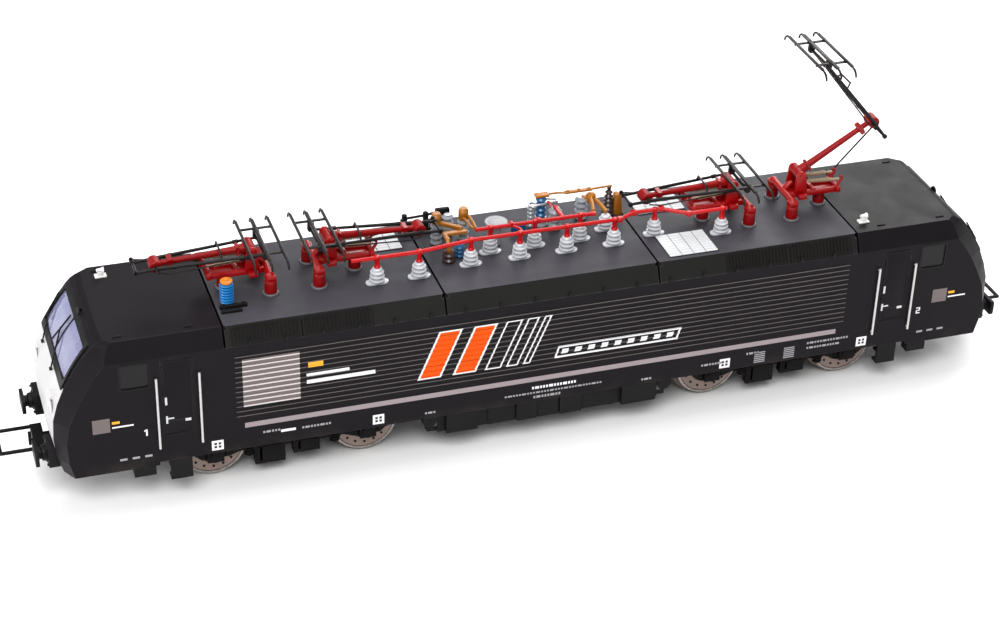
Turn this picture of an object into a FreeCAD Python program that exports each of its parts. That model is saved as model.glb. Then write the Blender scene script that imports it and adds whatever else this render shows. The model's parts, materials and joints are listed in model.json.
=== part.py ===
import FreeCAD, Part
import math
import os
import Sketcher

# Model electric locomotive, H0 scale (1:87), four axles, four pantographs.
# Lengths are in millimetres. X runs along the length, Y across it, and Z up from the wheel flanges.

SIZES = {
    "rail_top": 1.0,
    "wheel_radius": 7.2,
    "flange_radius": 8.2,
    "axle_radius": 1.0,
    "bogie_x": 56.9,
    "axle_step": 16.67,
    "wheel_back": 7.05,
    "wheel_face": 9.95,
    "flange_wide": 0.75,
    "side_y": 17.25,
    "deck_y": 15.3,
    "cant_low": 36.7,
    "deck_top": 40.9,
    "deck_thick": 0.9,
    "sill_low": 11.2,
    "skirt_low": 10.4,
    "wall": 0.9,
    "screen_low": 30.9,
    "screen_high": 39.0,
    "screen_half": 12.9,
    "cab_seam_x": 71.5,
    "roof_seam_x": 24.0,
    "seam_gap": 0.5,
    "floor_low": 17.4,
    "floor_thick": 2.0,
    "floor_x": 98.0,
    "floor_y": 15.8,
    "drive_axis": 15.6,
    "motor_radius": 6.8,
    "motor_half": 13.0,
    "flywheel_radius": 6.0,
    "motor_shaft_radius": 1.0,
    "drive_rod_radius": 0.8,
    "ball_radius": 1.15,
    "cup_radius": 1.9,
    "cup_bore": 1.25,
    "worm_root": 1.7,
    "worm_tip": 2.55,
    "worm_shaft_radius": 0.95,
    "thread_pitch": 1.2566,
    "gear_root": 4.7,
    "gear_tip": 5.55,
    "gear_wide": 2.4,
    "running_fit": 0.05,
    "pivot_radius": 5.5,
    "foot_pair_y": 5.3,
    "foot_reach": 9.0,
    "feet_1_x": -58.8,
    "feet_2_x": -48.4,
    "feet_3_x": 49.5,
    "feet_4_x": 59.8,
    "arm_pivot_reach": 3.1,
    "arm_pivot_top": 49.5,
    "lower_arm_long": 20.0,
    "upper_arm_long": 22.4,
    "folded_lower_angle": -2.6,
    "raised_lower_angle": 32.0,
    "folded_upper_angle": 2.0,
    "raised_upper_angle": 49.6,
    "arm_radius": 0.75,
    "head_half": 8.8,
    "strip_step": 3.45,
    "crossbar_y": 5.7,
    "rod_pivot_reach": 12.9,
    "rod_pivot_top": 46.0,
    "rod_long": 14.6,
    "folded_rod_angle": 9.1,
    "raised_rod_angle": 47.8,
    "link_long": 4.2,
    "link_angle": 51.8,
    "busbar_top": 47.0,
    "busbar_radius": 0.45,
    "insulator_top": 44.7,
    "buffer_y": 10.06,
    "buffer_top": 13.2,
    "buffer_end": 110.9,
}

GEAR_TEETH = 26

# The body's nose from bottom to top: height, front, edge where the front turns back, where the side ends,
# and half the width of the front between its two edges.
NOSE = [
    (10.4, 105.8, 105.5, 103.6, 14.0),
    (14.0, 106.8, 106.5, 104.5, 14.0),
    (18.5, 107.3, 107.0, 104.8, 14.0),
    (23.2, 107.0, 106.7, 104.0, 14.0),
    (27.0, 105.9, 105.6, 102.3, 14.0),
    (31.0, 104.2, 103.9, 100.2, 14.0),
    (34.4, 102.2, 101.9, 97.9, 14.0),
    (36.7, 100.6, 100.3, 96.1, 14.1),
    (38.6, 99.1, 98.8, 95.5, 14.2),
    (39.7, 98.1, 97.8, 95.1, 14.2),
    (40.4, 97.1, 96.8, 94.7, 14.1),
]
NOSE_TOP = (95.8, 95.5, 93.9, 13.9)
DOC = FreeCAD.newDocument("locomotive")
SHEET = DOC.addObject("Spreadsheet::Sheet", "Sizes")
Vec = FreeCAD.Vector
PARTS = []


class Size:
    """A length from the sheet: its number, and the text that binds a property to it."""

    def __init__(self, number, text):
        self.number = number
        self.text = text

    def combine(self, other, sign, result):
        return Size(result, "(%s %s %s)" % (self.text, sign, other.text))

    def __add__(self, other):
        other = as_size(other)
        return self.combine(other, "+", self.number + other.number)

    def __sub__(self, other):
        other = as_size(other)
        return self.combine(other, "-", self.number - other.number)

    def __mul__(self, other):
        other = as_size(other)
        return self.combine(other, "*", self.number * other.number)

    __radd__ = __add__
    __rmul__ = __mul__

    def __rsub__(self, other):
        return as_size(other) - self

    def __neg__(self):
        return self * -1


def as_size(value):
    if isinstance(value, Size):
        return value
    return Size(float(value), "%.5f" % value)


def fill_sheet():
    row = 1
    for alias, number in SIZES.items():
        SHEET.set("A%d" % row, alias)
        SHEET.set("B%d" % row, str(number))
        SHEET.setAlias("B%d" % row, alias)
        row += 1
    DOC.recompute()


def size(alias):
    return Size(SIZES[alias], "Sizes." + alias)


def bind(thing, name, value):
    value = as_size(value)
    if "Sizes." in value.text:
        thing.setExpression(name, value.text)
    else:
        setattr_path(thing, name, value.number)


def setattr_path(thing, name, number):
    if not name.startswith("Placement.Base."):
        setattr(thing, name, number)
        return
    place = thing.Placement
    base = place.Base
    setattr(base, name[-1], number)
    thing.Placement = FreeCAD.Placement(base, place.Rotation)


TURN = {
    "x": FreeCAD.Rotation(Vec(0, 1, 0), 90),
    "y": FreeCAD.Rotation(Vec(1, 0, 0), -90),
    "z": FreeCAD.Rotation(),
}


def place(thing, x, y, z):
    bind(thing, "Placement.Base.x", x)
    bind(thing, "Placement.Base.y", y)
    bind(thing, "Placement.Base.z", z)
    return thing


def block(x0, x1, y0, y1, z0, z1):
    """A box between two corners."""
    thing = DOC.addObject("Part::Box", "Block")
    bind(thing, "Length", as_size(x1) - x0)
    bind(thing, "Width", as_size(y1) - y0)
    bind(thing, "Height", as_size(z1) - z0)
    return place(thing, x0, y0, z0)


def span(x0, x1, side):
    """The two ends of a run along X, in rising order, on the side given by 1 or -1."""
    if side > 0:
        return as_size(x0), as_size(x1)
    return -as_size(x1), -as_size(x0)


def rod(axis, x, y, z, radius, length):
    thing = DOC.addObject("Part::Cylinder", "Rod")
    thing.Placement = FreeCAD.Placement(Vec(), TURN[axis])
    bind(thing, "Radius", radius)
    bind(thing, "Height", length)
    return place(thing, x, y, z)


def taper(axis, x, y, z, radius_low, radius_high, length):
    thing = DOC.addObject("Part::Cone", "Taper")
    thing.Placement = FreeCAD.Placement(Vec(), TURN[axis])
    bind(thing, "Radius1", radius_low)
    bind(thing, "Radius2", radius_high)
    bind(thing, "Height", length)
    return place(thing, x, y, z)


def ball(x, y, z, radius):
    thing = DOC.addObject("Part::Sphere", "Ball")
    bind(thing, "Radius", radius)
    return place(thing, x, y, z)


def link_rod(start, end, radius):
    """A round rod between two points."""
    a = Vec(*[as_size(v).number for v in start])
    b = Vec(*[as_size(v).number for v in end])
    thing = DOC.addObject("Part::Cylinder", "LinkRod")
    thing.Placement = FreeCAD.Placement(a, FreeCAD.Rotation(Vec(0, 0, 1), b - a))
    bind(thing, "Radius", radius)
    thing.Height = (b - a).Length
    return thing


def origin_plane(body, role):
    for feature in body.Origin.OriginFeatures:
        if feature.Role == role:
            return feature
    raise ValueError(role)


def outline(sketch, points):
    """A closed outline of straight edges, each corner held by its two distances from the origin."""
    corners = [(as_size(a), as_size(b)) for a, b in points]
    count = len(corners)
    for index in range(count):
        a = corners[index]
        b = corners[(index + 1) % count]
        line = Part.LineSegment(Vec(a[0].number, a[1].number, 0), Vec(b[0].number, b[1].number, 0))
        sketch.addGeometry(line, False)
    for index in range(count):
        joined = Sketcher.Constraint("Coincident", index, 2, (index + 1) % count, 1)
        sketch.addConstraint(joined)
    for index, corner in enumerate(corners):
        for name, value in zip(("DistanceX", "DistanceY"), corner):
            held = Sketcher.Constraint(name, -1, 1, index, 1, value.number)
            number = sketch.addConstraint(held)
            if "Sizes." in value.text:
                sketch.setExpression("Constraints[%d]" % number, value.text)


def plate(role, points, low, high):
    """A flat outline given thickness, between two distances along the axis across its plane."""
    body = DOC.addObject("PartDesign::Body", "Plate")
    sketch = body.newObject("Sketcher::SketchObject", "Outline")
    sketch.AttachmentSupport = [(origin_plane(body, role), "")]
    sketch.MapMode = "FlatFace"
    start = -as_size(high) if role == "XZ_Plane" else as_size(low)
    sketch.AttachmentOffset = FreeCAD.Placement(Vec(0, 0, start.number), FreeCAD.Rotation())
    if "Sizes." in start.text:
        sketch.setExpression("AttachmentOffset.Base.z", start.text)
    outline(sketch, points)
    pad = body.newObject("PartDesign::Pad", "Pad")
    pad.Profile = sketch
    bind(pad, "Length", as_size(high) - low)
    sketch.Visibility = False
    return body


def fuse(*things):
    joined = DOC.addObject("Part::MultiFuse", "Joined")
    joined.Shapes = list(things)
    joined.Refine = False
    return joined


def cut(base, *tools):
    result = DOC.addObject("Part::Cut", "Cut")
    result.Base = base
    result.Refine = False
    result.Tool = tools[0] if len(tools) == 1 else fuse(*tools)
    return result


def group(*things):
    joined = DOC.addObject("Part::Compound", "Group")
    joined.Links = list(things)
    return joined


def part(label, thing):
    thing.Label = label
    PARTS.append(thing)
    return thing


def loft(sections):
    body = DOC.addObject("Part::Loft", "Loft")
    body.Sections = sections
    body.Solid = True
    body.Ruled = True
    return body


# ---------------------------------------------------------------- body shell

def plan_section(height, row, half_wide, inset):
    """The outline of the body seen from above, at one height."""
    sketch = DOC.addObject("Sketcher::SketchObject", "PlanSection")
    bind(sketch, "Placement.Base.z", height)
    front, ridge_x, side_end, ridge_y = [as_size(v) for v in row]
    inset = as_size(inset)
    corner = [
        (side_end - inset * 0.5, half_wide - inset),
        (ridge_x - inset, ridge_y - inset * 0.5),
        (front - inset, as_size(8.0)),
    ]
    points = list(corner)
    points += [(x, -y) for x, y in reversed(corner)]
    points += [(-x, -y) for x, y in corner]
    points += [(-x, y) for x, y in reversed(corner)]
    outline(sketch, points)
    return sketch


def half_width(z):
    """Half the body's width: straight sides, then the slope of the cant."""
    if z <= SIZES["cant_low"]:
        return size("side_y")
    share = (SIZES["deck_top"] - z) / (SIZES["deck_top"] - SIZES["cant_low"])
    return size("deck_y") + (size("side_y") - size("deck_y")) * share


def body_block(inset, low, top_inset):
    """The body as a solid, or one lying inside it by the inset."""
    top = size("deck_top") - top_inset
    sections = []
    for z, front, ridge, side_end, ridge_y in NOSE:
        if z > top.number - 0.05:
            continue
        height = as_size(low) if z == NOSE[0][0] else as_size(z)
        sections.append(plan_section(height, (front, ridge, side_end, ridge_y), half_width(z), inset))
    sections.append(plan_section(top, NOSE_TOP, size("deck_y"), inset))
    return loft(sections)


def nose_x(z):
    """The front of the nose at a height."""
    for below, above in zip(NOSE, NOSE[1:]):
        if z <= above[0]:
            share = (z - below[0]) / (above[0] - below[0])
            return below[1] + share * (above[1] - below[1])
    return NOSE[-1][1]


def side_boxes(x0, x1, z0, z1, depth, proud=0.0):
    """Boxes on both sides of the body, reaching inward from its sides."""
    side = size("side_y")
    near = block(x0, x1, -side - proud, -side + depth, z0, z1)
    far = block(x0, x1, side - depth, side + proud, z0, z1)
    return [near, far]


def frame_groove(x0, x1, z0, z1, groove, depth):
    outer = side_boxes(x0, x1, z0, z1, depth, 0.1)
    inner = side_boxes(x0 + groove, x1 - groove, z0 + groove, z1 - groove, depth + 0.2, 0.3)
    return [cut(outer_box, inner_box) for outer_box, inner_box in zip(outer, inner)]


def windscreen_tool(end, margin, depth_out, depth_in):
    """The windscreen's opening, cut along X through the sloping front."""
    y = size("screen_half") - margin
    points = [
        (-y, size("screen_low") + margin),
        (y, size("screen_low") + margin),
        (y - 0.6, size("screen_high") - margin),
        (-y + 0.6, size("screen_high") - margin),
    ]
    low, high = span(98.6 - depth_in, 105.0 + depth_out, end)
    return plate("YZ_Plane", points, low, high)


HANDRAIL_PINS = [(x, y, z) for x in (76.9, 85.8) for y in (1, -1) for z in (15.4, 31.6)]


def build_body_shell():
    outer = body_block(0, size("skirt_low"), 0)
    inner = body_block(size("wall"), size("skirt_low") - 1, size("wall"))
    tools = [inner]
    tools.append(block(-86, 86, -20, 20, 9, size("sill_low")))
    seam = size("cab_seam_x")
    tools.append(block(-seam, seam, -20, 20, size("cant_low"), 45))
    for end in (1, -1):
        tools.append(windscreen_tool(end, 0.0, 2, 6))
        x0, x1 = span(87.0, 93.3, end)
        tools += side_boxes(x0, x1, 30.0, 36.2, 2, 1)
        for y in (-10.4, 10.4):
            tools.append(rod("x", 100 if end > 0 else -110, y, 24.2, 1.6, 10))
        tools.append(rod("x", 94 if end > 0 else -104, 0, 39.6, 0.7, 10))
        x0, x1 = span(78.1, 84.7, end)
        tools += frame_groove(x0, x1, 17.8, 36.0, 0.25, 0.2)
        for x, y, z in HANDRAIL_PINS:
            tools.append(rod("y", end * x, size("side_y") * y - 0.7, z, 0.22, 1.4))
    shell = cut(outer, *tools)
    extras = []
    for row in range(13):
        z = 19.3 + row * 1.22
        extras += side_boxes(-69.5, 69.5, z, z + 0.3, 0.2, 0.12)
    for end in (1, -1):
        for y in (1, -1):
            x0, x1 = span(92, 96, end)
            y0, y1 = span(12.4, size("side_y") - 0.5, y)
            extras.append(block(x0, x1, y0, y1, size("floor_low") + size("floor_thick") + 0.05, 26))
    whole = fuse(shell, *extras)
    holes = [rod("z", 94 * a, 14 * b, 19, 0.75, 5.6) for a in (1, -1) for b in (1, -1)]
    part("body_shell", cut(whole, *holes))


def build_roof_panel(label, x0, x1):
    """A roof section: the flat deck and the sloping cant on both sides, its top corners cut off."""
    deck = size("deck_y")
    side = size("side_y")
    top = size("deck_top")
    low = size("cant_low")
    half = [
        (side, low + 0.02),
        (deck, top),
        (-deck, top),
        (-side, low + 0.02),
        (-side + 1.0, low + 0.02),
        (-deck + 0.75, top - size("deck_thick")),
        (deck - 0.75, top - size("deck_thick")),
        (side - 1.0, low + 0.02),
    ]
    corners = []
    for x, way in ((x0, -1), (x1, 1)):
        for y in (1, -1):
            points = [
                (as_size(x) + 0.5 * way, (deck - 0.8) * y),
                (as_size(x) + 0.5 * way, (side + 1.0) * y),
                (as_size(x) - 0.7 * way, (side + 1.0) * y),
                (as_size(x) - 0.7 * way, (deck + 0.4) * y),
            ]
            if way * y < 0:
                points = list(reversed(points))
            corners.append(plate("XY_Plane", points, 40.0, 42))
    part(label, cut(plate("YZ_Plane", half, x0, x1), *corners))


def build_roof_panels():
    seam = size("cab_seam_x")
    middle = size("roof_seam_x")
    gap = size("seam_gap")
    build_roof_panel("roof_panel_left", -seam + gap, -middle - gap * 0.5)
    build_roof_panel("roof_panel_middle", -middle + gap * 0.5, middle - gap * 0.5)
    build_roof_panel("roof_panel_right", middle + gap * 0.5, seam - gap)


def build_glazing():
    screens = []
    for end in (1, -1):
        skin = cut(body_block(0.2, 20, 0.1), body_block(0.75, 19, 0.6))
        common = DOC.addObject("Part::Common", "Screen")
        common.Base = skin
        common.Tool = windscreen_tool(end, 0.05, 2, 6)
        screens.append(common)
    part("windscreens", group(*screens))
    panes = []
    side = size("side_y")
    for end in (1, -1):
        for y in (1, -1):
            x0, x1 = span(87.05, 93.25, end)
            y0, y1 = span(side - 0.75, side - 0.2, y)
            panes.append(block(x0, x1, y0, y1, 30.05, 36.15))
    part("cab_side_windows", group(*panes))


def build_lights():
    guides = []
    for end in (1, -1):
        bar = block(*span(97.5, 99.5, end), -12, 12, 22.8, 25.6)
        spurs = []
        for y in (-10.4, 10.4):
            length = 7.6
            spurs.append(rod("x", 98.8 if end > 0 else -98.8 - length, y, 24.2, 1.5, length))
        guides.append(fuse(bar, *spurs))
        stub = rod("x", 95.2 if end > 0 else -97.2, 0, 39.6, 0.62, 2.0)
        guides.append(stub)
    part("headlight_guides", group(*guides))


def build_handrails():
    rails = []
    side = size("side_y")
    for end in (1, -1):
        for y in (1, -1):
            for x in (76.9, 85.8):
                rail = rod("z", end * x, (side + 0.55) * y, 14.9, 0.25, 17.2)
                pins = []
                for z in (15.4, 31.6):
                    y0 = side - 0.6 if y > 0 else -side - 0.55
                    pins.append(rod("y", end * x, y0, z, 0.2, 1.15))
                rails.append(fuse(rail, *pins))
    part("door_handrails", group(*rails))


def build_wipers():
    wipers = []
    for end in (1, -1):
        for hub, elbow, low, high in (
            ((-6.9, 29.6), (-12.0, 34.6), (-11.6, 32.4), (-12.4, 37.6)),
            ((4.4, 29.8), (-1.6, 35.6), (-2.3, 32.8), (-0.9, 38.6)),
        ):
            spots = [(end * (nose_x(z) + 0.55), end * y, z) for y, z in (hub, elbow, low, high)]
            arm = link_rod(spots[0], spots[1], 0.17)
            blade = link_rod(spots[2], spots[3], 0.2)
            foot = nose_x(hub[1]) + 0.25
            knob = rod("x", foot if end > 0 else -foot - 0.6, end * hub[0], hub[1], 0.4, 0.6)
            wipers.append(fuse(arm, blade, knob))
    part("windscreen_wipers", group(*wipers))


# ---------------------------------------------------------------- chassis and drive

def build_chassis_frame():
    low = size("floor_low")
    top = low + size("floor_thick")
    fx = size("floor_x")
    fy = size("floor_y")
    solids = [block(-fx, fx, -fy, fy, low, top)]
    solids.append(block(-27.5, 27.5, -fy, fy, 7.9, low + 0.5))
    for end in (1, -1):
        x0, x1 = span(27.5, 47.5, end)
        solids.append(block(x0, x1, -fy, fy, top - 0.5, 29.8))
        x0, x1 = span(88.5, fx, end)
        solids.append(block(x0, x1, -12, 12, 11.4, low + 0.5))
        x0, x1 = span(94.5, 103.2, end)
        solids.append(block(x0, x1, -3.2, 3.2, 10.9, 12.9))
        x0, x1 = span(64.0, 68.0, end)
        for y in (1, -1):
            y0, y1 = span(12.2, fy, y)
            solids.append(block(x0, x1, y0, y1, top - 0.5, 29.8))
    whole = fuse(*solids)
    well = size("motor_radius") + 0.1
    tools = [block(-30, 30, -well, well, 8.7, 31)]
    for end in (1, -1):
        x0, x1 = span(64.1, 85.5, end)
        tools.append(block(x0, x1, -8, 8, 16, 21))
        tools.append(rod("z", size("bogie_x") * end, 0, 16, size("pivot_radius") + size("running_fit"), 6))
        for y in (1, -1):
            tools.append(rod("z", 94 * end, 14 * y, 16, 0.8, 6))
        tools.append(rod("z", 99.8 * end, 0, 10, 0.95, 3.4))
    part("chassis_frame", cut(whole, *tools))


def build_underframe():
    solids = [block(-25.5, 25.5, -15.6, 15.6, 6.4, 7.8)]
    for side in (1, -1):
        for x0, x1, reach, low in (
            (-23.7, -16.6, 17.2, 6.4),
            (-14.0, -8.0, 16.3, 6.6),
            (-7.6, -2.9, 16.8, 6.6),
            (-2.7, 2.1, 16.5, 7.0),
            (2.4, 7.5, 16.8, 6.6),
            (7.8, 15.2, 16.2, 6.6),
            (16.8, 24.8, 17.2, 6.4),
        ):
            y0, y1 = span(15.85, reach, side)
            solids.append(block(x0, x1, y0, y1, low, 11.1))
            y0, y1 = span(15.0, reach, side)
            solids.append(block(x0, x1, y0, y1, 6.4, 7.8))
        y0, y1 = span(15.82, 16.1, side)
        solids.append(block(-25.5, 25.5, y0, y1, 6.5, 11.1))
        y0, y1 = span(15.0, 16.1, side)
        solids.append(block(-25.5, 25.5, y0, y1, 6.4, 7.8))
        for end in (1, -1):
            solids.append(rod("y", end * 27.2, -16.2 if side < 0 else 13.0, 9.6, 1.6, 3.2))
            x0, x1 = span(24.5, 27.6, end)
            y0, y1 = span(13.4, 15.4, side)
            solids.append(block(x0, x1, y0, y1, 6.4, 7.8))
            solids.append(block(*span(26.4, 27.6, end), y0, y1, 7.0, 9.0))
    box = fuse(*solids)
    tools = []
    for end in (1, -1):
        x0, x1 = span(20, 27.55, end)
        tools.append(block(x0, x1, -15.85, 15.85, 7.82, 12))
    part("underframe_boxes", cut(box, *tools))


def build_door_steps():
    steps = []
    side = size("side_y")
    for end in (1, -1):
        for y in (1, -1):
            x0, x1 = span(79.2, 83.8, end)
            y0, y1 = span(side - 0.8, side - 0.05, y)
            panel = block(x0, x1, y0, y1, 6.2, size("sill_low") - 0.05)
            y0, y1 = span(side - 2.4, side - 0.3, y)
            tread_low = block(x0, x1, y0, y1, 6.2, 6.7)
            tread_high = block(x0, x1, y0, y1, 9.0, 9.4)
            steps.append(fuse(panel, tread_low, tread_high))
            x0, x1 = span(86.8, 91.4, end)
            y0, y1 = span(14.4, side - 0.3, y)
            steps.append(block(x0, x1, y0, y1, 8.0, size("sill_low") - 0.85))
    part("door_steps", group(*steps))


def build_motor():
    axis = size("drive_axis")
    half = size("motor_half")
    can = rod("x", -half, 0, axis, size("motor_radius"), half * 2)
    boss = rod("x", -half - 1.2, 0, axis, 2.6, half * 2 + 2.4)
    bore = rod("x", -20, 0, axis, size("motor_shaft_radius") + size("running_fit"), 40)
    part("motor_housing", cut(fuse(can, boss), bore))
    part("motor_shaft", rod("x", -27, 0, axis, size("motor_shaft_radius"), 54))
    wheels = []
    drives = []
    for end in (1, -1):
        x0 = 16.5 if end > 0 else -22.5
        rim = rod("x", x0, 0, axis, size("flywheel_radius"), 6)
        wheels.append(cut(rim, rod("x", x0 - 1, 0, axis, size("motor_shaft_radius"), 8)))
        x0 = 24 if end > 0 else -29
        collar = rod("x", x0, 0, axis, 1.8, 5)
        start = 28 if end > 0 else -1 * size("bogie_x")
        shaft = rod("x", start, 0, axis, size("drive_rod_radius"), size("bogie_x") - 28)
        tip = ball(size("bogie_x") * end, 0, axis, size("ball_radius"))
        bore = rod("x", 23 if end > 0 else -27, 0, axis, size("motor_shaft_radius"), 4)
        drives.append(cut(fuse(collar, shaft, tip), bore))
    part("flywheels", group(*wheels))
    part("drive_shafts", group(*drives))


def build_worm(number, end):
    axis = size("drive_axis")
    centre = size("bogie_x") * end
    gear_x = (size("bogie_x") + size("axle_step")) * end
    x0, x1 = span(size("bogie_x") - 1.6, size("bogie_x") + 3.4, end)
    cup = rod("x", x0, 0, axis, size("cup_radius"), x1 - x0)
    x0, x1 = span(size("bogie_x") + 3.0, size("bogie_x") + 24.3, end)
    shaft = rod("x", x0, 0, axis, size("worm_shaft_radius"), x1 - x0)
    pitch = size("thread_pitch")
    start = gear_x - pitch * 2.5
    core = rod("x", gear_x - 3.9, 0, axis, size("worm_root"), 7.8)
    helix = DOC.addObject("Part::Helix", "ThreadPath")
    bind(helix, "Pitch", pitch)
    bind(helix, "Height", pitch * 5)
    bind(helix, "Radius", size("worm_root"))
    tooth = DOC.addObject("Sketcher::SketchObject", "ThreadTooth")
    tooth.Placement = FreeCAD.Placement(Vec(), FreeCAD.Rotation(Vec(1, 0, 0), 90))
    root = size("worm_root") - 0.15
    tip = size("worm_tip")
    outline(tooth, [(root, -0.36), (tip, -0.12), (tip, 0.12), (root, 0.36)])
    thread = DOC.addObject("Part::Sweep", "Thread")
    thread.Sections = [tooth]
    thread.Spine = (helix, ["Edge1"])
    thread.Solid = True
    thread.Frenet = True
    thread.Placement = FreeCAD.Placement(Vec(), TURN["x"])
    place(thread, start, 0, axis)
    socket = rod("x", centre - 1.7 if end > 0 else centre - 1.6, 0, axis, size("cup_bore"), 3.3)
    part("worm_%d" % number, cut(fuse(cup, shaft, core, thread), socket))


def gear_wheel(x, z):
    """A gear with straight teeth on a cross axle, with one tooth at its top."""
    body = DOC.addObject("PartDesign::Body", "Gear")
    half = size("gear_wide") * 0.5
    disc = body.newObject("Sketcher::SketchObject", "Disc")
    disc.AttachmentSupport = [(origin_plane(body, "XZ_Plane"), "")]
    disc.MapMode = "FlatFace"
    disc.addGeometry(Part.Circle(Vec(0, 0, 0), Vec(0, 0, 1), SIZES["gear_root"]), False)
    disc.addConstraint(Sketcher.Constraint("Coincident", 0, 3, -1, 1))
    held = disc.addConstraint(Sketcher.Constraint("Radius", 0, SIZES["gear_root"]))
    disc.setExpression("Constraints[%d]" % held, "Sizes.gear_root")
    disc.setExpression("AttachmentOffset.Base.z", (-half).text)
    pad = body.newObject("PartDesign::Pad", "DiscPad")
    pad.Profile = disc
    bind(pad, "Length", size("gear_wide"))
    tooth = body.newObject("Sketcher::SketchObject", "Tooth")
    tooth.AttachmentSupport = [(origin_plane(body, "XZ_Plane"), "")]
    tooth.MapMode = "FlatFace"
    tooth.setExpression("AttachmentOffset.Base.z", (-half).text)
    root = size("gear_root") - 0.2
    tip = size("gear_tip")
    outline(tooth, [(-0.36, root), (0.36, root), (0.1, tip), (-0.1, tip)])
    DOC.recompute()
    raised = body.newObject("PartDesign::Pad", "ToothPad")
    raised.Profile = tooth
    bind(raised, "Length", size("gear_wide"))
    around = body.newObject("PartDesign::PolarPattern", "Teeth")
    around.Originals = [raised]
    around.Axis = (disc, ["N_Axis"])
    around.Angle = 360
    around.Occurrences = GEAR_TEETH
    body.Tip = around
    return place(body, x, 0, z)


def build_wheelset(number, end, step):
    x = (size("bogie_x") + size("axle_step") * step) * end
    z = size("rail_top") + size("wheel_radius")
    axle = rod("y", x, -10.4, z, size("axle_radius"), 20.8)
    solids = [axle]
    for side in (1, -1):
        y0, y1 = span(size("wheel_back"), size("wheel_face"), side)
        tread = rod("y", x, y0, z, size("wheel_radius"), y1 - y0)
        y0, y1 = span(size("wheel_back"), size("wheel_back") + size("flange_wide"), side)
        flange = rod("y", x, y0, z, size("flange_radius"), y1 - y0)
        y0, y1 = span(size("wheel_face") - 0.7, size("wheel_face") + 0.2, side)
        dish = cut(rod("y", x, y0, z, 5.9, y1 - y0), rod("y", x, y0, z, 2.0, y1 - y0))
        solids.append(cut(fuse(tread, flange), dish))
    if step > 0:
        solids.append(gear_wheel(x, z))
    part("wheelset_%d" % number, fuse(*solids))


def build_bogie(number, end):
    c = size("bogie_x")
    axle_z = size("rail_top") + size("wheel_radius")
    solids = []
    a = size("axle_step")
    for side in (1, -1):
        y0, y1 = span(11.0, 12.4, side)
        points = []
        for u, z in ((-21, 7.6), (-19.6, 6.4), (-13.6, 6.4), (-11.4, 7.2), (11.4, 7.2), (13.6, 6.4),
                     (19.6, 6.4), (21, 7.6), (21, 9.4), (12, 9.8), (8, 10.9), (-8, 10.9), (-12, 9.8),
                     (-21, 9.4)):
            points.append((c * end + u, z))
        solids.append(plate("XZ_Plane", points, y0, y1))
        y0, y1 = span(4.0, 11.4, side)
        solids.append(block(c * end - 3.5, c * end + 3.5, y0, y1, 8.2, 10.6))
        y0, y1 = span(12.0, 13.4, side)
        for u in (-16.67, 16.67):
            solids.append(block(c * end + (u - 1.8), c * end + (u + 1.8), y0, y1, 6.0, 9.0))
        y0, y1 = span(11.2, 13.2, side)
        for near, far, low in ((-8.2, -1.6, 3.6), (0.2, 6.0, 5.0)):
            x0, x1 = span(-far, -near, side)
            solids.append(block(c * end + x0, c * end + x1, y0, y1, low, 9.4))
        for u in (-9.4, 9.4):
            solids.append(rod("z", c * end + u, 12.75 * side, 6.4, 0.9, 3.4))
            low, high = span(11.7, 13.2, side)
            solids.append(block(c * end + (u - 1.2), c * end + (u + 1.2), low, high, 7.4, 8.4))
    x0, x1 = span(c - 20.2, c + 25.0, end)
    solids.append(block(x0, x1, -4.5, 4.5, 2.4, 12.9))
    x0, x1 = span(c + 8.2, c + 25.0, end)
    solids.append(block(x0, x1, -4.5, 4.5, 12.5, 18.6))
    for side in (1, -1):
        y0, y1 = span(3.2, 4.4, side)
        solids.append(block(c * end - 1.8, c * end + 1.8, y0, y1, 12.5, 18.6))
    solids.append(rod("z", c * end, 0, 18.1, size("pivot_radius"), 2.9))
    whole = fuse(*solids)
    tools = []
    bore = size("axle_radius") + size("running_fit")
    for step in (1, -1):
        tools.append(rod("y", (c + a * step) * end, -6, axle_z, bore, 12))
        x0, x1 = span(c + a * step - 6.2, c + a * step + 6.2, end)
        tools.append(block(x0, x1, -3.0, 3.0, 2.0, 14.2))
    x0, x1 = span(c + 11.6, c + 21.4, end)
    tools.append(block(x0, x1, -3.0, 3.0, 10, 20))
    x0, x1 = span(c + 6, c + 26, end)
    shaft_bore = size("worm_shaft_radius") + size("running_fit")
    tools.append(rod("x", x0, 0, size("drive_axis"), shaft_bore, 20))
    part("bogie_%d" % number, cut(whole, *tools))
    x0, x1 = span(c - 20.2, c + 25.0, end)
    cover = block(x0, x1, -4.5, 4.5, 1.55, 2.35)
    rail = block(x0 + 8, x1 - 8, -2.5, 2.5, 1.55, 2.35)
    part("gear_cover_%d" % number, fuse(cover, rail))


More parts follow.
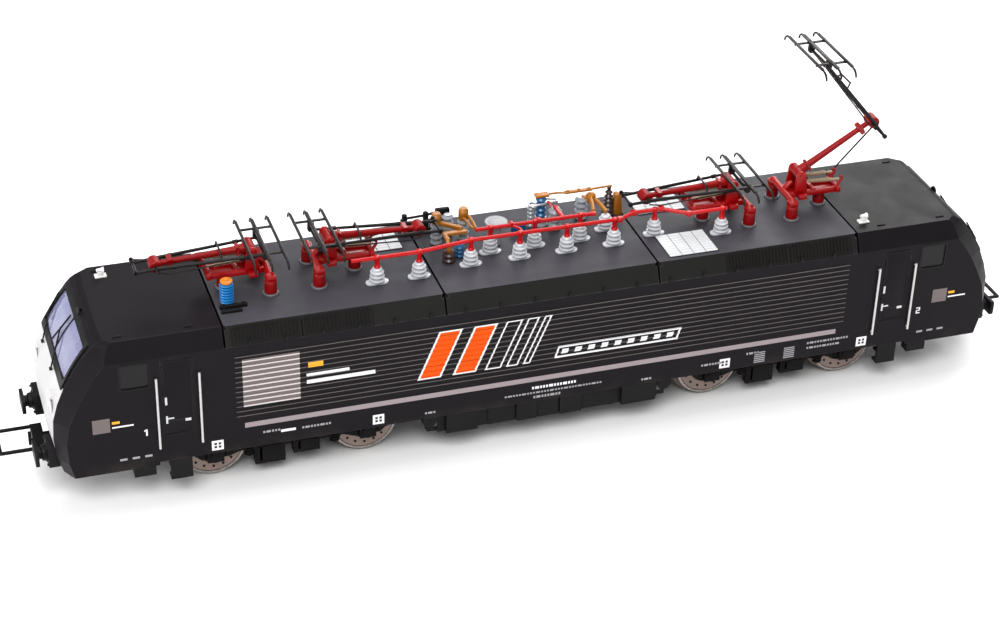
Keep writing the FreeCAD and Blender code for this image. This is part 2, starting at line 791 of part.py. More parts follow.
def build_inside():
    part("circuit_board", block(-67, 67, -11.5, 11.5, 29.85, 31.0))
    part("decoder", block(-14, 10, -8, 8, 31.05, 33.6))
    cabs = []
    for end in (1, -1):
        floor = block(*span(79, 96.5, end), -14.6, 14.6, 26.1, 27.0)
        points = [(end * 91.0, 27), (end * 96.5, 27), (end * 98.6, 30.4), (end * 92.2, 31.4)]
        if end < 0:
            points = list(reversed(points))
        desk = plate("XZ_Plane", points, -13, 13)
        back = block(*span(79, 80, end), -14.6, 14.6, 26.1, 37)
        seats = []
        for y in (-6.5, 6.5):
            seats.append(block(*span(84, 88, end), y - 2, y + 2, 27, 29.4))
            seats.append(block(*span(83.4, 84.6, end), y - 2, y + 2, 27, 34))
        cabs.append(fuse(floor, desk, back, *seats))
    part("cab_interiors", group(*cabs))
    screws = []
    for end in (1, -1):
        for y in (1, -1):
            shank = rod("z", 94 * end, 14 * y, 16.6, 0.7, 7.0)
            head = rod("z", 94 * end, 14 * y, 16.0, 1.5, 1.35)
            slot = block(94 * end - 2, 94 * end + 2, 14 * y - 0.2, 14 * y + 0.2, 15.5, 16.4)
            screws.append(cut(fuse(shank, head), slot))
    part("body_screws", group(*screws))


def build_buffers():
    """Each buffer's base is cut to the slope of the nose it stands on."""
    buffers = []
    z = size("buffer_top")
    nose = body_block(-0.04, size("skirt_low") - 0.5, -0.04)
    for end in (1, -1):
        for side in (1, -1):
            y = size("buffer_y") * side
            x0, x1 = span(104.0, 108.4, end)
            base = cut(block(x0, x1, y - 2.8, y + 2.8, z - 2.3, z + 2.8), nose)
            x0, x1 = span(108.0, size("buffer_end") - 0.6, end)
            stem = rod("x", x0, y, z, 1.4, x1 - x0)
            x0, x1 = span(size("buffer_end") - 0.9, size("buffer_end"), end)
            head = block(x0, x1, y - 2.9, y + 2.9, z - 1.75, z + 1.75)
            x0, x1 = span(108.2, 109.3, end)
            sleeve = rod("x", x0, y, z, 1.65, x1 - x0)
            buffers.append(fuse(base, stem, sleeve, head))
    part("buffers", group(*buffers))


def build_coupler(number, end):
    x0, x1 = span(98.2, 108.5, end)
    shank = block(x0, x1, -1.7, 1.7, 8.9, 10.4)
    pin = rod("z", 99.8 * end, 0, 9.4, 0.9, 3.2)
    x0, x1 = span(107.6, 110.0, end)
    head = block(x0, x1, -4.6, 4.6, 8.4, 10.8)
    solids = [shank, pin, head]
    for side in (1, -1):
        x0, x1 = span(109.6, 117.4, end)
        y0, y1 = span(3.9, 4.5, side)
        solids.append(block(x0, x1, y0, y1, 10.1, 10.7))
    x0, x1 = span(116.8, 117.4, end)
    solids.append(block(x0, x1, -4.5, 4.5, 10.1, 10.7))
    x0, x1 = span(109.6, 110.9, end)
    solids.append(block(x0, x1, -0.5, 0.5, 8.9, 10.0))
    x0, x1 = span(110.3, 110.9, end)
    solids.append(block(x0, x1, -0.5, 0.5, 8.9, 11.8))
    part("coupler_%d" % number, fuse(*solids))


# ---------------------------------------------------------------- roof equipment

INSULATORS = [
    (-36.4, -7.3), (-27.2, -7.3), (-15.2, -5.5), (-4.2, -5.5), (6.5, -5.5), (17.4, -5.5), (27.5, -3.6),
    (42.0, -7.1), (-9.6, -1.6), (0.5, -1.6), (10.9, -1.6), (17.9, 1.2),
]


def insulator(x, y, top):
    deck = size("deck_top")
    foot = block(x - 1.6, x + 1.6, y - 1.2, y + 1.2, deck, deck + 0.5)
    ends = [rod("z", x + step, y, deck, 1.0, 0.5) for step in (-1.6, 1.6)]
    core = rod("z", x, y, deck, 1.05, as_size(top) - deck)
    solids = [foot, core] + ends
    for level in range(3):
        solids.append(rod("z", x, y, deck + (0.85 + level * 1.0), 1.6 - level * 0.06, 0.55))
    return fuse(*solids)


def build_roof_items():
    deck = size("deck_top")
    top = size("insulator_top")
    part("roof_insulators", group(*[insulator(x, y, top) for x, y in INSULATORS]))
    z = size("busbar_top")
    r = size("busbar_radius")
    run = [(-42.0, -7.3), (-27.2, -7.3), (-15.2, -5.5), (18.6, -5.5), (22.5, -3.6), (29.0, -3.6),
           (34.0, -7.1), (43.0, -7.1)]
    edge = [(x, as_size(y) - r) for x, y in run]
    edge += [(x, as_size(y) + r) for x, y in reversed(run)]
    front = [plate("XY_Plane", edge, z - r, z + r)]
    for x, y in INSULATORS[:8]:
        front.append(rod("z", x, y, top + 0.02, 0.35, z - top))
    rear = [block(-13.0, 14.0, -1.6 - r, -1.6 + r, z - r, z + r)]
    for x, y in INSULATORS[8:11]:
        rear.append(rod("z", x, y, top + 0.02, 0.35, z - top))
    part("roof_busbars", group(fuse(*front), fuse(*rear)))
    build_switches()
    build_breaker(deck)
    arrester = [rod("z", -68.4, -6.8, deck, 1.1, 5.0), rod("z", -68.4, -6.8, deck + 5.0, 0.8, 0.9)]
    for level in range(6):
        arrester.append(rod("z", -68.4, -6.8, deck + (0.5 + level * 0.75), 1.45, 0.35))
    part("surge_arrester", fuse(*arrester))
    disc = fuse(rod("z", -7.2, 1.9, deck, 1.0, 5.6), rod("z", -7.2, 1.9, deck + 5.0, 2.5, 0.8))
    part("vent_disc", disc)


def shed_post(x, y, core, wide, low, high, count):
    """An upright insulator: a core with equal sheds along it."""
    step = (high - low) / count
    solids = [rod("z", x, y, low, core, high - low)]
    for level in range(count):
        solids.append(rod("z", x, y, low + step * (level + 0.25), wide, step * 0.4))
    return solids


def bar(x0, y0, x1, y1, wide, low, high):
    """A flat bar between two spots on the roof."""
    length = math.hypot(x1 - x0, y1 - y0)
    u = (y1 - y0) / length * wide * 0.5
    v = (x1 - x0) / length * wide * 0.5
    points = [(x0 + u, y0 - v), (x1 + u, y1 - v), (x1 - u, y1 + v), (x0 - u, y0 + v)]
    return plate("XY_Plane", points, low, high)


def build_switches():
    low = SIZES["deck_top"]
    left = shed_post(-19.8, 5.0, 0.9, 1.3, low, 46.2, 4)
    left.append(rod("z", -19.8, 5.0, 46.0, 1.1, 2.7))
    left.append(bar(-19.8, 5.0, -15.0, 0.8, 0.9, 45.9, 46.8))
    left.append(block(-19.9, -14.5, -0.3, 1.3, 45.5, 46.3))
    left.append(block(-19.9, -18.9, -2.7, 0.4, 45.5, 46.2))
    left.append(block(-19.9, -18.9, -3.2, -2.3, 43.0, 46.2))
    left += shed_post(-19.3, -2.9, 1.1, 1.5, low, 43.4, 2)
    rear = shed_post(-13.6, 5.3, 0.9, 1.3, low, 46.2, 4)
    rear.append(rod("z", -13.6, 5.3, 46.0, 1.0, 2.9))
    rear.append(block(-12.95, -12.15, -1.1, 5.3, 46.3, 47.0))
    blue = shed_post(-16.4, -1.5, 0.8, 1.1, low, 43.8, 3)
    grey = shed_post(-16.3, 8.1, 0.9, 1.25, low, 46.4, 4)
    right = shed_post(14.3, 7.2, 1.0, 1.45, low, 46.6, 4)
    right.append(rod("z", 16.3, 6.6, 45.2, 1.1, 2.2))
    right.append(bar(14.3, 7.2, 16.3, 6.6, 1.4, 45.6, 46.6))
    right.append(bar(16.3, 6.6, 14.3, -0.7, 0.8, 46.3, 46.9))
    right.append(bar(16.3, 6.6, 18.1, 1.3, 1.0, 44.8, 45.7))
    part("disconnectors", group(fuse(*left), fuse(*rear), fuse(*blue), fuse(*grey), fuse(*right)))


def build_breaker(deck):
    low = SIZES["deck_top"]
    solids = [rod("z", 4.8, 7.0, deck, 1.3, 2.2)]
    solids += shed_post(4.8, 7.0, 0.9, 1.25, 43.0, 48.1, 5)
    solids.append(block(1.9, 8.6, 6.3, 7.3, 46.0, 46.6))
    solids.append(rod("z", 2.4, 6.8, deck, 0.7, 5.2))
    solids.append(block(3.4, 6.4, 6.2, 7.9, 48.0, 48.6))
    solids.append(bar(6.0, 7.1, 8.3, 8.0, 0.5, 48.0, 48.5))
    solids.append(bar(8.1, 8.0, 10.6, 7.2, 0.5, 47.9, 48.4))
    solids.append(block(10.2, 16.6, 6.7, 7.7, 47.8, 48.3))
    solids.append(bar(16.3, 7.2, 21.4, 7.4, 0.5, 47.8, 48.3))
    solids.append(taper("z", 20.8, 7.3, deck, 1.6, 0.6, 7.2))
    solids.append(block(21.6, 23.9, 6.4, 8.1, deck, 46.3))
    solids += shed_post(7.3, 4.6, 1.0, 1.5, low, 46.2, 3)
    solids.append(block(6.8, 7.6, -1.1, 5.0, 46.0, 46.8))
    solids.append(rod("z", 6.2, 5.8, deck, 1.0, 2.0))
    box = block(-2.6, 0.6, 4.4, 5.4, deck, 43.0)
    part("main_breaker", group(fuse(*solids), box))


def build_roof_fittings():
    deck = size("deck_top")
    grids = []
    for x0, y0 in ((27.2, -14.3), (27.2, 5.0), (-38.6, 5.0)):
        plate_low = block(x0, x0 + 11.4, y0, y0 + 9.4, deck, deck + 0.3)
        slots = []
        for i in range(4):
            for j in range(9):
                sx = x0 + 0.5 + i * 2.75
                sy = y0 + 0.45 + j * 0.98
                slots.append(block(sx, sx + 2.1, sy, sy + 0.55, deck + 0.12, deck + 1))
        grids.append(cut(plate_low, *slots))
    part("roof_walkways", group(*grids))
    duct = [block(-26.6, -18.0, 9.6, 11.4, deck, deck + 1.6)]
    duct.append(block(-18.4, -15.2, 9.8, 11.2, deck, 46.8))
    for x in (-25.4, -20.6):
        duct.append(rod("z", x, 10.5, deck + 1.4, 0.5, 3.6))
    part("cable_duct", fuse(*duct))
    whistles = []
    for x, y in ((-91.7, 11.0), (74.8, -11.0)):
        foot = block(x - 1.4, x + 1.4, y - 0.9, y + 0.9, deck, deck + 0.5)
        post = block(x - 0.6, x + 0.6, y - 0.5, y + 0.5, deck + 0.3, deck + 1.6)
        horn = taper("x", x - 1.1, y, deck + 1.7, 0.45, 0.75, 2.4)
        whistles.append(fuse(foot, post, horn))
    part("whistles", group(*whistles))


# ---------------------------------------------------------------- pantographs

class Pantograph:
    """Where one pantograph stands: its feet, the way its knee points, and how far it is raised."""

    def __init__(self, number, feet_x, way, raised):
        self.number = number
        self.feet_x = feet_x
        self.way = way
        state = "raised" if raised else "folded"
        self.lower = math.radians(SIZES[state + "_lower_angle"])
        self.upper = math.radians(SIZES[state + "_upper_angle"])
        self.rod = math.radians(SIZES[state + "_rod_angle"])
        turn = SIZES["raised_upper_angle"] - SIZES[state + "_upper_angle"]
        self.link = math.radians(turn - SIZES["link_angle"])
        self.pivot = (SIZES["arm_pivot_reach"], SIZES["arm_pivot_top"])
        self.knee = self.step(self.pivot, self.lower, SIZES["lower_arm_long"])
        self.top = self.step(self.knee, math.pi - self.upper, SIZES["upper_arm_long"])
        self.link_tip = self.step(self.knee, self.link, SIZES["link_long"])

    def step(self, start, angle, length):
        return (start[0] + length * math.cos(angle), start[1] + length * math.sin(angle))

    def x(self, reach):
        return self.feet_x + as_size(reach) * self.way

    def point(self, spot, y, along=0.0, angle=0.0):
        reach, z = self.step(spot, angle, along)
        return (self.x(reach), y, z)

    def run(self, near, far):
        a = self.x(near)
        b = self.x(far)
        return (a, b) if self.way > 0 else (b, a)


def build_base_solid(p):
    low = size("insulator_top") - 0.45
    z = size("arm_pivot_top")
    pivot_x = p.x(size("arm_pivot_reach"))
    solids = [rod("y", p.x(0), -6.4, low + 0.85, 0.8, 12.8)]
    for side in (1, -1):
        solids.append(rod("z", p.x(0), size("foot_pair_y") * side, low, 1.25, 1.3))
    solids.append(block(*p.run(-0.3, 12.8), -1.7, 1.7, low + 0.1, low + 1.3))
    solids.append(block(*p.run(1.9, 4.5), -2.5, 2.5, low, low + 1.6))
    for side in (1, -1):
        y0, y1 = span(1.8, 2.5, side)
        cheek = block(*p.run(2.1, 4.1), y0, y1, low + 1.0, z)
        solids += [cheek, rod("y", pivot_x, y0, z, 1.0, y1 - y0)]
        y0, y1 = span(1.3, 2.5, side)
        solids.append(block(*p.run(4.4, 12.8), y0, y1, low + 0.1, low + 1.5))
        y0, y1 = span(1.2, 2.2, side)
        solids.append(block(*p.run(11.6, 12.8), y0, y1, low + 1.0, z - 1.6))
        start = p.point((4.0, SIZES["arm_pivot_top"] - 2.0), side * 2.1)
        end = p.point((12.2, SIZES["arm_pivot_top"] - 2.3), side * 1.7)
        solids.append(link_rod(start, end, 0.35))
    solids.append(rod("y", pivot_x, -2.5, z, 0.6, 5.0))
    solids.append(block(*p.run(12.0, 13.6), 2.1, 3.0, low + 0.3, size("rod_pivot_top") + 0.5))
    pin_x = p.x(size("rod_pivot_reach"))
    solids.append(rod("y", pin_x, 2.1, size("rod_pivot_top"), 0.3, 1.8))
    return fuse(*solids)


def build_feet_solids(p):
    deck = size("deck_top")
    top = size("insulator_top") - 0.47
    feet = []
    for reach, y in ((0, size("foot_pair_y")), (0, -size("foot_pair_y")), (size("foot_reach"), 0)):
        x = p.x(reach)
        ring = rod("z", x, y, deck, 1.75, 0.45)
        post = taper("z", x, y, deck, 1.35, 1.2, top - deck)
        feet.append(fuse(ring, post))
    return feet


def build_lower_arm(p):
    x, _, z = p.point(p.pivot, 0)
    tube = rod("y", x, -1.7, z, 1.15, 3.4)
    kx, _, kz = p.point(p.knee, 0)
    knuckle = rod("y", kx, -1.6, kz, 1.25, 3.2)
    arm = link_rod(p.point(p.pivot, 0, 0.4, p.lower), p.point(p.knee, 0, -0.4, p.lower), size("arm_radius"))
    collar = link_rod(p.point(p.knee, 0, -3.2, p.lower), p.point(p.knee, 0, -0.6, p.lower), 1.0)
    solid = fuse(tube, knuckle, arm, collar)
    fit = size("running_fit")
    bores = [rod("y", x, -4, z, 0.6 + fit, 8), rod("y", kx, -4, kz, 0.5 + fit, 8)]
    part("lower_arm_%d" % p.number, cut(solid, *bores))


def build_upper_arm(p):
    kx, _, kz = p.point(p.knee, 0)
    tx, _, tz = p.point(p.top, 0)
    solids = [rod("y", kx, -2.5, kz, 0.5, 5.0), rod("y", tx, -4.9, tz, 0.4, 9.8)]
    for side in (1, -1):
        y0 = 1.9 if side > 0 else -2.5
        solids.append(rod("y", kx, y0, kz, 1.0, 0.6))
        start = p.point(p.knee, side * 2.2)
        end = p.point(p.top, side * 3.8)
        solids.append(link_rod(start, end, 0.32))
        low = p.point(p.knee, side * 2.2)
        tip = p.point(p.link_tip, side * 2.2)
        solids.append(link_rod(low, tip, 0.28))
    lx, _, lz = p.point(p.link_tip, 0)
    solids.append(rod("y", lx, -2.45, lz, 0.4, 4.9))
    part("upper_arm_%d" % p.number, fuse(*solids))


def build_head(p):
    """Two contact strips with curved horns, and a flat beam between them, on two crossbars."""
    x, _, z = p.point(p.top, 0)
    half = size("head_half")
    solids = []
    up = z + 1.5
    for step in (-1, 0, 1):
        sx = x + size("strip_step") * step
        wide = 0.3 if step else 0.42
        solids.append(block(sx - wide, sx + wide, -half, half, up - 0.25, up + 0.25))
        for side in (1, -1):
            start = (sx, (half - 0.1) * side, up)
            middle = (sx, (half + 1.3) * side, up - 0.5)
            end = (sx, (half + 2.1) * side, up - 1.6)
            solids.append(link_rod(start, middle, 0.22))
            solids.append(link_rod((sx, (half + 1.2) * side, up - 0.4), end, 0.24))
    for side in (1, -1):
        y0, y1 = span(size("crossbar_y") - 0.4, size("crossbar_y") + 0.4, side)
        low = x - size("strip_step")
        solids.append(block(low, x + size("strip_step"), y0, y1, up - 0.5, up - 0.1))
        y0, y1 = span(4.05, 6.0, side)
        solids.append(block(x - 0.7, x + 0.7, y0, y1, z - 0.8, up - 0.15))
    whole = fuse(*solids)
    part("head_%d" % p.number, cut(whole, rod("y", x, -5.0, z, 0.4 + size("running_fit"), 10.0)))


def build_control_rod(p):
    pivot = (SIZES["rod_pivot_reach"], SIZES["rod_pivot_top"])
    x, _, z = p.point(pivot, 0)
    eye = rod("y", x, 3.1, z, 0.75, 0.6)
    start = p.point(pivot, 3.4, 0.5, p.rod)
    end = p.point(pivot, 3.4, SIZES["rod_long"], p.rod)
    wire = link_rod(start, end, 0.2)
    ex, _, ez = end
    eye_top = rod("y", ex, 3.15, ez, 0.5, 0.5)
    bore = rod("y", x, 2.2, z, 0.3 + size("running_fit"), 2)
    part("control_rod_%d" % p.number, cut(fuse(eye, wire, eye_top), bore))


def build_pantographs():
    stands = [
        Pantograph(1, size("feet_1_x"), -1, False),
        Pantograph(2, size("feet_2_x"), 1, False),
        Pantograph(3, size("feet_3_x"), -1, False),
        Pantograph(4, size("feet_4_x"), 1, True),
    ]
    bases = []
    feet = []
    for p in stands:
        bases.append(build_base_solid(p))
        feet += build_feet_solids(p)
        build_lower_arm(p)
        build_upper_arm(p)
        build_head(p)
        build_control_rod(p)
    part("pantograph_bases", group(*bases))
    part("pantograph_feet", group(*feet))


def build_all():
    fill_sheet()
    build_body_shell()
    build_roof_panels()
    build_glazing()
    build_lights()
    build_handrails()
    build_wipers()
    build_chassis_frame()
    build_underframe()
    build_door_steps()
    build_motor()
    build_inside()
    build_buffers()
    for number, end in ((1, -1), (2, 1)):
        build_worm(number, end)
        build_bogie(number, end)
        build_coupler(number, end)
    build_wheelset(1, -1, 1)
    build_wheelset(2, -1, -1)
    build_wheelset(3, 1, -1)
    build_wheelset(4, 1, 1)
    build_roof_items()
    build_roof_fittings()
    build_pantographs()


def export_all():
    DOC.recompute()
    faults = []
    for thing in DOC.Objects:
        if "Invalid" in thing.State or "Error" in thing.State:
            faults.append("%s (%s): %s" % (thing.Name, thing.Label, thing.State))
    if faults:
        raise RuntimeError("; ".join(faults))
    os.makedirs("parts", exist_ok=True)
    for thing in PARTS:
        shape = thing.Shape
        if shape.isNull() or not shape.isValid():
            raise RuntimeError("bad shape: " + thing.Label)
        shape.exportStep("parts/%s.step" % thing.Label)
        print("%-22s solids %3d  volume %9.1f" % (thing.Label, len(shape.Solids), shape.Volume))


build_all()
export_all()
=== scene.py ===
import json
import math

import bmesh
import bpy
from mathutils import Matrix, Vector


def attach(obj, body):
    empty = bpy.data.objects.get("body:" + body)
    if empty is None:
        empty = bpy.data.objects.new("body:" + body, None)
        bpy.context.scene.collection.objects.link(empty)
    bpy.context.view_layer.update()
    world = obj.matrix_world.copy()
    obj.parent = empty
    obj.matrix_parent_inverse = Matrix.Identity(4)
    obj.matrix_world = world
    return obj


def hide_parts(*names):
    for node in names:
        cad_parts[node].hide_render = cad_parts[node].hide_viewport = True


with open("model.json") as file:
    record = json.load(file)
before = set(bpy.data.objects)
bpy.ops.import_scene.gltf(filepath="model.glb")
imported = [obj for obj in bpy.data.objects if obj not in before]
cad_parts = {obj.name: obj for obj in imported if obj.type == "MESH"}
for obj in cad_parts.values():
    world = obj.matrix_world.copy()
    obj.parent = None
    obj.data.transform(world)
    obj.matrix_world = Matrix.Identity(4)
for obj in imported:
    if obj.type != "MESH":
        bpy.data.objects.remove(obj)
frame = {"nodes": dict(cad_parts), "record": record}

# Lengths below are in millimetres, in the frame of the part, and are scaled when a piece is finished.
MM = 0.001
DECK = 40.9             # height of the flat roof
INSULATOR_TOP = 44.7
BAR = 47.0              # height of the busbars' centre line
FOOT_TOP = 44.2         # where a pantograph's base rests on its feet
SIDE = 17.25            # half the body's width
CANT_IN, CANT_UP = 1.95, 4.18   # the sloping roof side, inward and upward
BUFFER_Z = 13.2
SLAT_PITCH = 0.78       # spacing of the louvres' slats, at least
JOINTS = {j["name"]: j for j in frame["record"]["behaviour"]["joints"]}
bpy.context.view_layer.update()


# ------------------------------------------------------------------ materials

class Nodes:
    """Short calls for building a material's node tree."""

    def __init__(self, name):
        self.mat = bpy.data.materials.new(name)
        self.mat.use_nodes = True
        self.tree = self.mat.node_tree
        self.tree.nodes.clear()
        self.out = self.add("ShaderNodeOutputMaterial")
        self.bsdf = self.add("ShaderNodeBsdfPrincipled")
        self.link(self.bsdf.outputs[0], self.out.inputs["Surface"])
        coords = self.add("ShaderNodeTexCoord")
        self.coords = coords.outputs["Object"]

    def add(self, kind, **values):
        node = self.tree.nodes.new(kind)
        for key, value in values.items():
            setattr(node, key, value)
        return node

    def link(self, a, b):
        self.tree.links.new(a, b)

    def feed(self, value, socket):
        if isinstance(value, (int, float)):
            socket.default_value = value
        elif isinstance(value, tuple):
            socket.default_value = value if len(value) == 4 else (*value, 1.0)
        else:
            self.link(value, socket)

    def noise(self, scale, detail=4.0, rough=0.6, stretch=None):
        node = self.add("ShaderNodeTexNoise")
        node.inputs["Scale"].default_value = scale
        node.inputs["Detail"].default_value = detail
        node.inputs["Roughness"].default_value = rough
        vector = self.coords
        if stretch:
            mapping = self.add("ShaderNodeMapping")
            mapping.inputs["Scale"].default_value = stretch
            self.link(self.coords, mapping.inputs["Vector"])
            vector = mapping.outputs[0]
        self.link(vector, node.inputs["Vector"])
        return node.outputs["Fac"]

    def ramp(self, value, low, high, a=0.0, b=1.0):
        node = self.add("ShaderNodeMapRange")
        node.inputs["From Min"].default_value = low
        node.inputs["From Max"].default_value = high
        node.inputs["To Min"].default_value = a
        node.inputs["To Max"].default_value = b
        self.link(value, node.inputs["Value"])
        return node.outputs["Result"]

    def math(self, kind, a, b=None):
        node = self.add("ShaderNodeMath", operation=kind)
        self.feed(a, node.inputs[0])
        if b is not None:
            self.feed(b, node.inputs[1])
        return node.outputs[0]

    def mix(self, fac, a, b):
        node = self.add("ShaderNodeMix", data_type="RGBA")
        self.feed(fac, node.inputs[0])
        self.feed(a, node.inputs[6])
        self.feed(b, node.inputs[7])
        return node.outputs[2]

    def patchy(self, scale, dark, light, detail=3.0):
        """A tone that drifts between two colours."""
        return self.mix(self.ramp(self.noise(scale, detail), 0.3, 0.7), dark, light)

    def gloss(self, scale, low, high):
        rough = self.ramp(self.noise(scale, 4.0), 0.3, 0.7, low, high)
        self.link(rough, self.bsdf.inputs["Roughness"])

    def set(self, **values):
        """Constant values on the shader, with the socket's words joined by underscores."""
        for key, value in values.items():
            self.bsdf.inputs[key.replace("_", " ")].default_value = value

    def bump(self, height, strength, distance):
        node = self.add("ShaderNodeBump")
        node.inputs["Strength"].default_value = strength
        node.inputs["Distance"].default_value = distance
        self.link(height, node.inputs["Height"])
        self.link(node.outputs[0], self.bsdf.inputs["Normal"])

    def edges(self, spread=0.0003):
        """Near 1 where an edge stands out, from a bevelled normal against the true one."""
        bevel = self.add("ShaderNodeBevel", samples=4)
        bevel.inputs["Radius"].default_value = spread
        geometry = self.add("ShaderNodeNewGeometry")
        dot = self.add("ShaderNodeVectorMath", operation="DOT_PRODUCT")
        self.link(bevel.outputs[0], dot.inputs[0])
        self.link(geometry.outputs["Normal"], dot.inputs[1])
        return self.ramp(dot.outputs["Value"], 0.995, 0.9)


def rgb(r, g, b):
    """A colour written as 0 to 255 in the display's curve."""
    return tuple((v / 255.0) ** 2.2 for v in (r, g, b))


def shade(colour, factor):
    return tuple(min(1.0, v * factor) for v in colour[:3])


def coated(name, colour, rough, metallic, vary, wear, worn, coat=0.0, specular=0.5):
    """Moulded plastic or paint: fine grain, patchy tone and gloss, and rubbed edges."""
    colour = rgb(*colour)
    worn = rgb(*worn) if worn else shade(colour, 1.9)
    n = Nodes(name)
    tone = n.patchy(60.0, shade(colour, 1 - vary), shade(colour, 1 + vary))
    rubbed = n.math("MULTIPLY", n.edges(0.0003), n.ramp(n.noise(350.0, 4.0), 0.35, 0.65, 0.2, 1.0))
    tone = n.mix(n.math("MULTIPLY", rubbed, wear), tone, worn)
    n.link(tone, n.bsdf.inputs["Base Color"])
    n.gloss(240.0, rough - 0.06, rough + 0.08)
    n.set(Metallic=metallic, Coat_Weight=coat, Coat_Roughness=0.15, Specular_IOR_Level=specular)
    n.bump(n.noise(900.0, 5.0), 0.35, 0.00001)
    return n.mat


def rubbed_edges(n, tone, worn):
    rubbed = n.math("MULTIPLY", n.edges(0.0002), n.ramp(n.noise(300.0, 4.0), 0.3, 0.7, 0.05, 0.35))
    return n.mix(rubbed, tone, worn)


def shell_material():
    """Black body with white cab fronts below the windscreen and dust along its foot."""
    n = Nodes("shell_black")
    split = n.add("ShaderNodeSeparateXYZ")
    n.link(n.coords, split.inputs[0])
    x, y, z = split.outputs
    front = n.math("GREATER_THAN", n.math("ABSOLUTE", x), 0.1034)
    inner = n.math("LESS_THAN", n.math("ABSOLUTE", y), 0.01385)
    low = n.math("GREATER_THAN", z, 0.0165)
    high = n.math("LESS_THAN", z, 0.0305)
    white = n.math("MULTIPLY", n.math("MULTIPLY", front, inner), n.math("MULTIPLY", low, high))
    black = rgb(24, 21, 24)
    tone = n.patchy(40.0, shade(black, 0.9), shade(black, 1.1))
    pale = n.patchy(90.0, rgb(178, 177, 177), rgb(190, 189, 189))
    tone = rubbed_edges(n, n.mix(white, tone, pale), rgb(92, 88, 86))
    dust = n.math("MULTIPLY", n.ramp(z, 0.0135, 0.0105), n.ramp(n.noise(120.0, 5.0), 0.45, 0.7, 0.0, 0.16))
    n.link(n.mix(dust, tone, rgb(96, 86, 78)), n.bsdf.inputs["Base Color"])
    n.gloss(180.0, 0.4, 0.5)
    n.set(Specular_IOR_Level=0.1)
    n.bump(n.noise(1400.0, 4.0), 0.3, 0.000006)
    return n.mat


def roof_material():
    """Grey deck on top and darker sloping sides, as one painted moulding."""
    n = Nodes("roof_grey")
    split = n.add("ShaderNodeSeparateXYZ")
    n.link(n.coords, split.inputs[0])
    deck = n.math("GREATER_THAN", split.outputs[2], 0.04082)
    grey = rgb(58, 57, 62)
    dark = rgb(26, 26, 25)
    top = n.patchy(45.0, shade(grey, 0.93), shade(grey, 1.07), 4.0)
    side = n.patchy(60.0, shade(dark, 0.9), shade(dark, 1.1), 4.0)
    tone = rubbed_edges(n, n.mix(deck, side, top), rgb(104, 104, 106))
    soot = n.ramp(n.noise(30.0, 5.0, 0.7, (0.4, 2.0, 1.0)), 0.55, 0.78, 0.0, 0.18)
    n.link(n.mix(soot, tone, rgb(44, 43, 44)), n.bsdf.inputs["Base Color"])
    n.gloss(200.0, 0.48, 0.6)
    n.set(Specular_IOR_Level=0.16)
    n.bump(n.noise(1600.0, 3.0), 0.35, 0.000008)
    return n.mat


def glass_material(name, tint, rough, alpha, coat, specular=0.5):
    """Moulded clear plastic, seen with a cast of its colour and faint ripples."""
    n = Nodes(name)
    n.link(n.patchy(50.0, shade(tint, 0.9), shade(tint, 1.05)), n.bsdf.inputs["Base Color"])
    n.link(n.ramp(n.noise(150.0, 3.0), 0.3, 0.7, rough, rough + 0.05), n.bsdf.inputs["Roughness"])
    n.set(IOR=1.49, Alpha=alpha, Coat_Weight=coat, Specular_IOR_Level=specular)
    n.bump(n.noise(220.0, 2.0), 0.15, 0.00001)
    return n.mat


def metal_material(name, colour, rough, stretch=(1.0, 1.0, 14.0), stain=None, stain_amount=0.3):
    n = Nodes(name)
    grain = n.noise(900.0, 4.0, 0.6, stretch)
    tone = n.mix(n.ramp(grain, 0.3, 0.7), shade(colour, 0.82), shade(colour, 1.1))
    spots = n.ramp(n.noise(260.0, 5.0, 0.7), 0.5, 0.68, 0.0, stain_amount)
    tone = n.mix(spots, tone, stain or shade(colour, 0.35))
    n.link(tone, n.bsdf.inputs["Base Color"])
    n.link(n.ramp(grain, 0.3, 0.7, rough - 0.06, rough + 0.12), n.bsdf.inputs["Roughness"])
    n.set(Metallic=0.85)
    n.bump(grain, 0.3, 0.00001)
    return n.mat


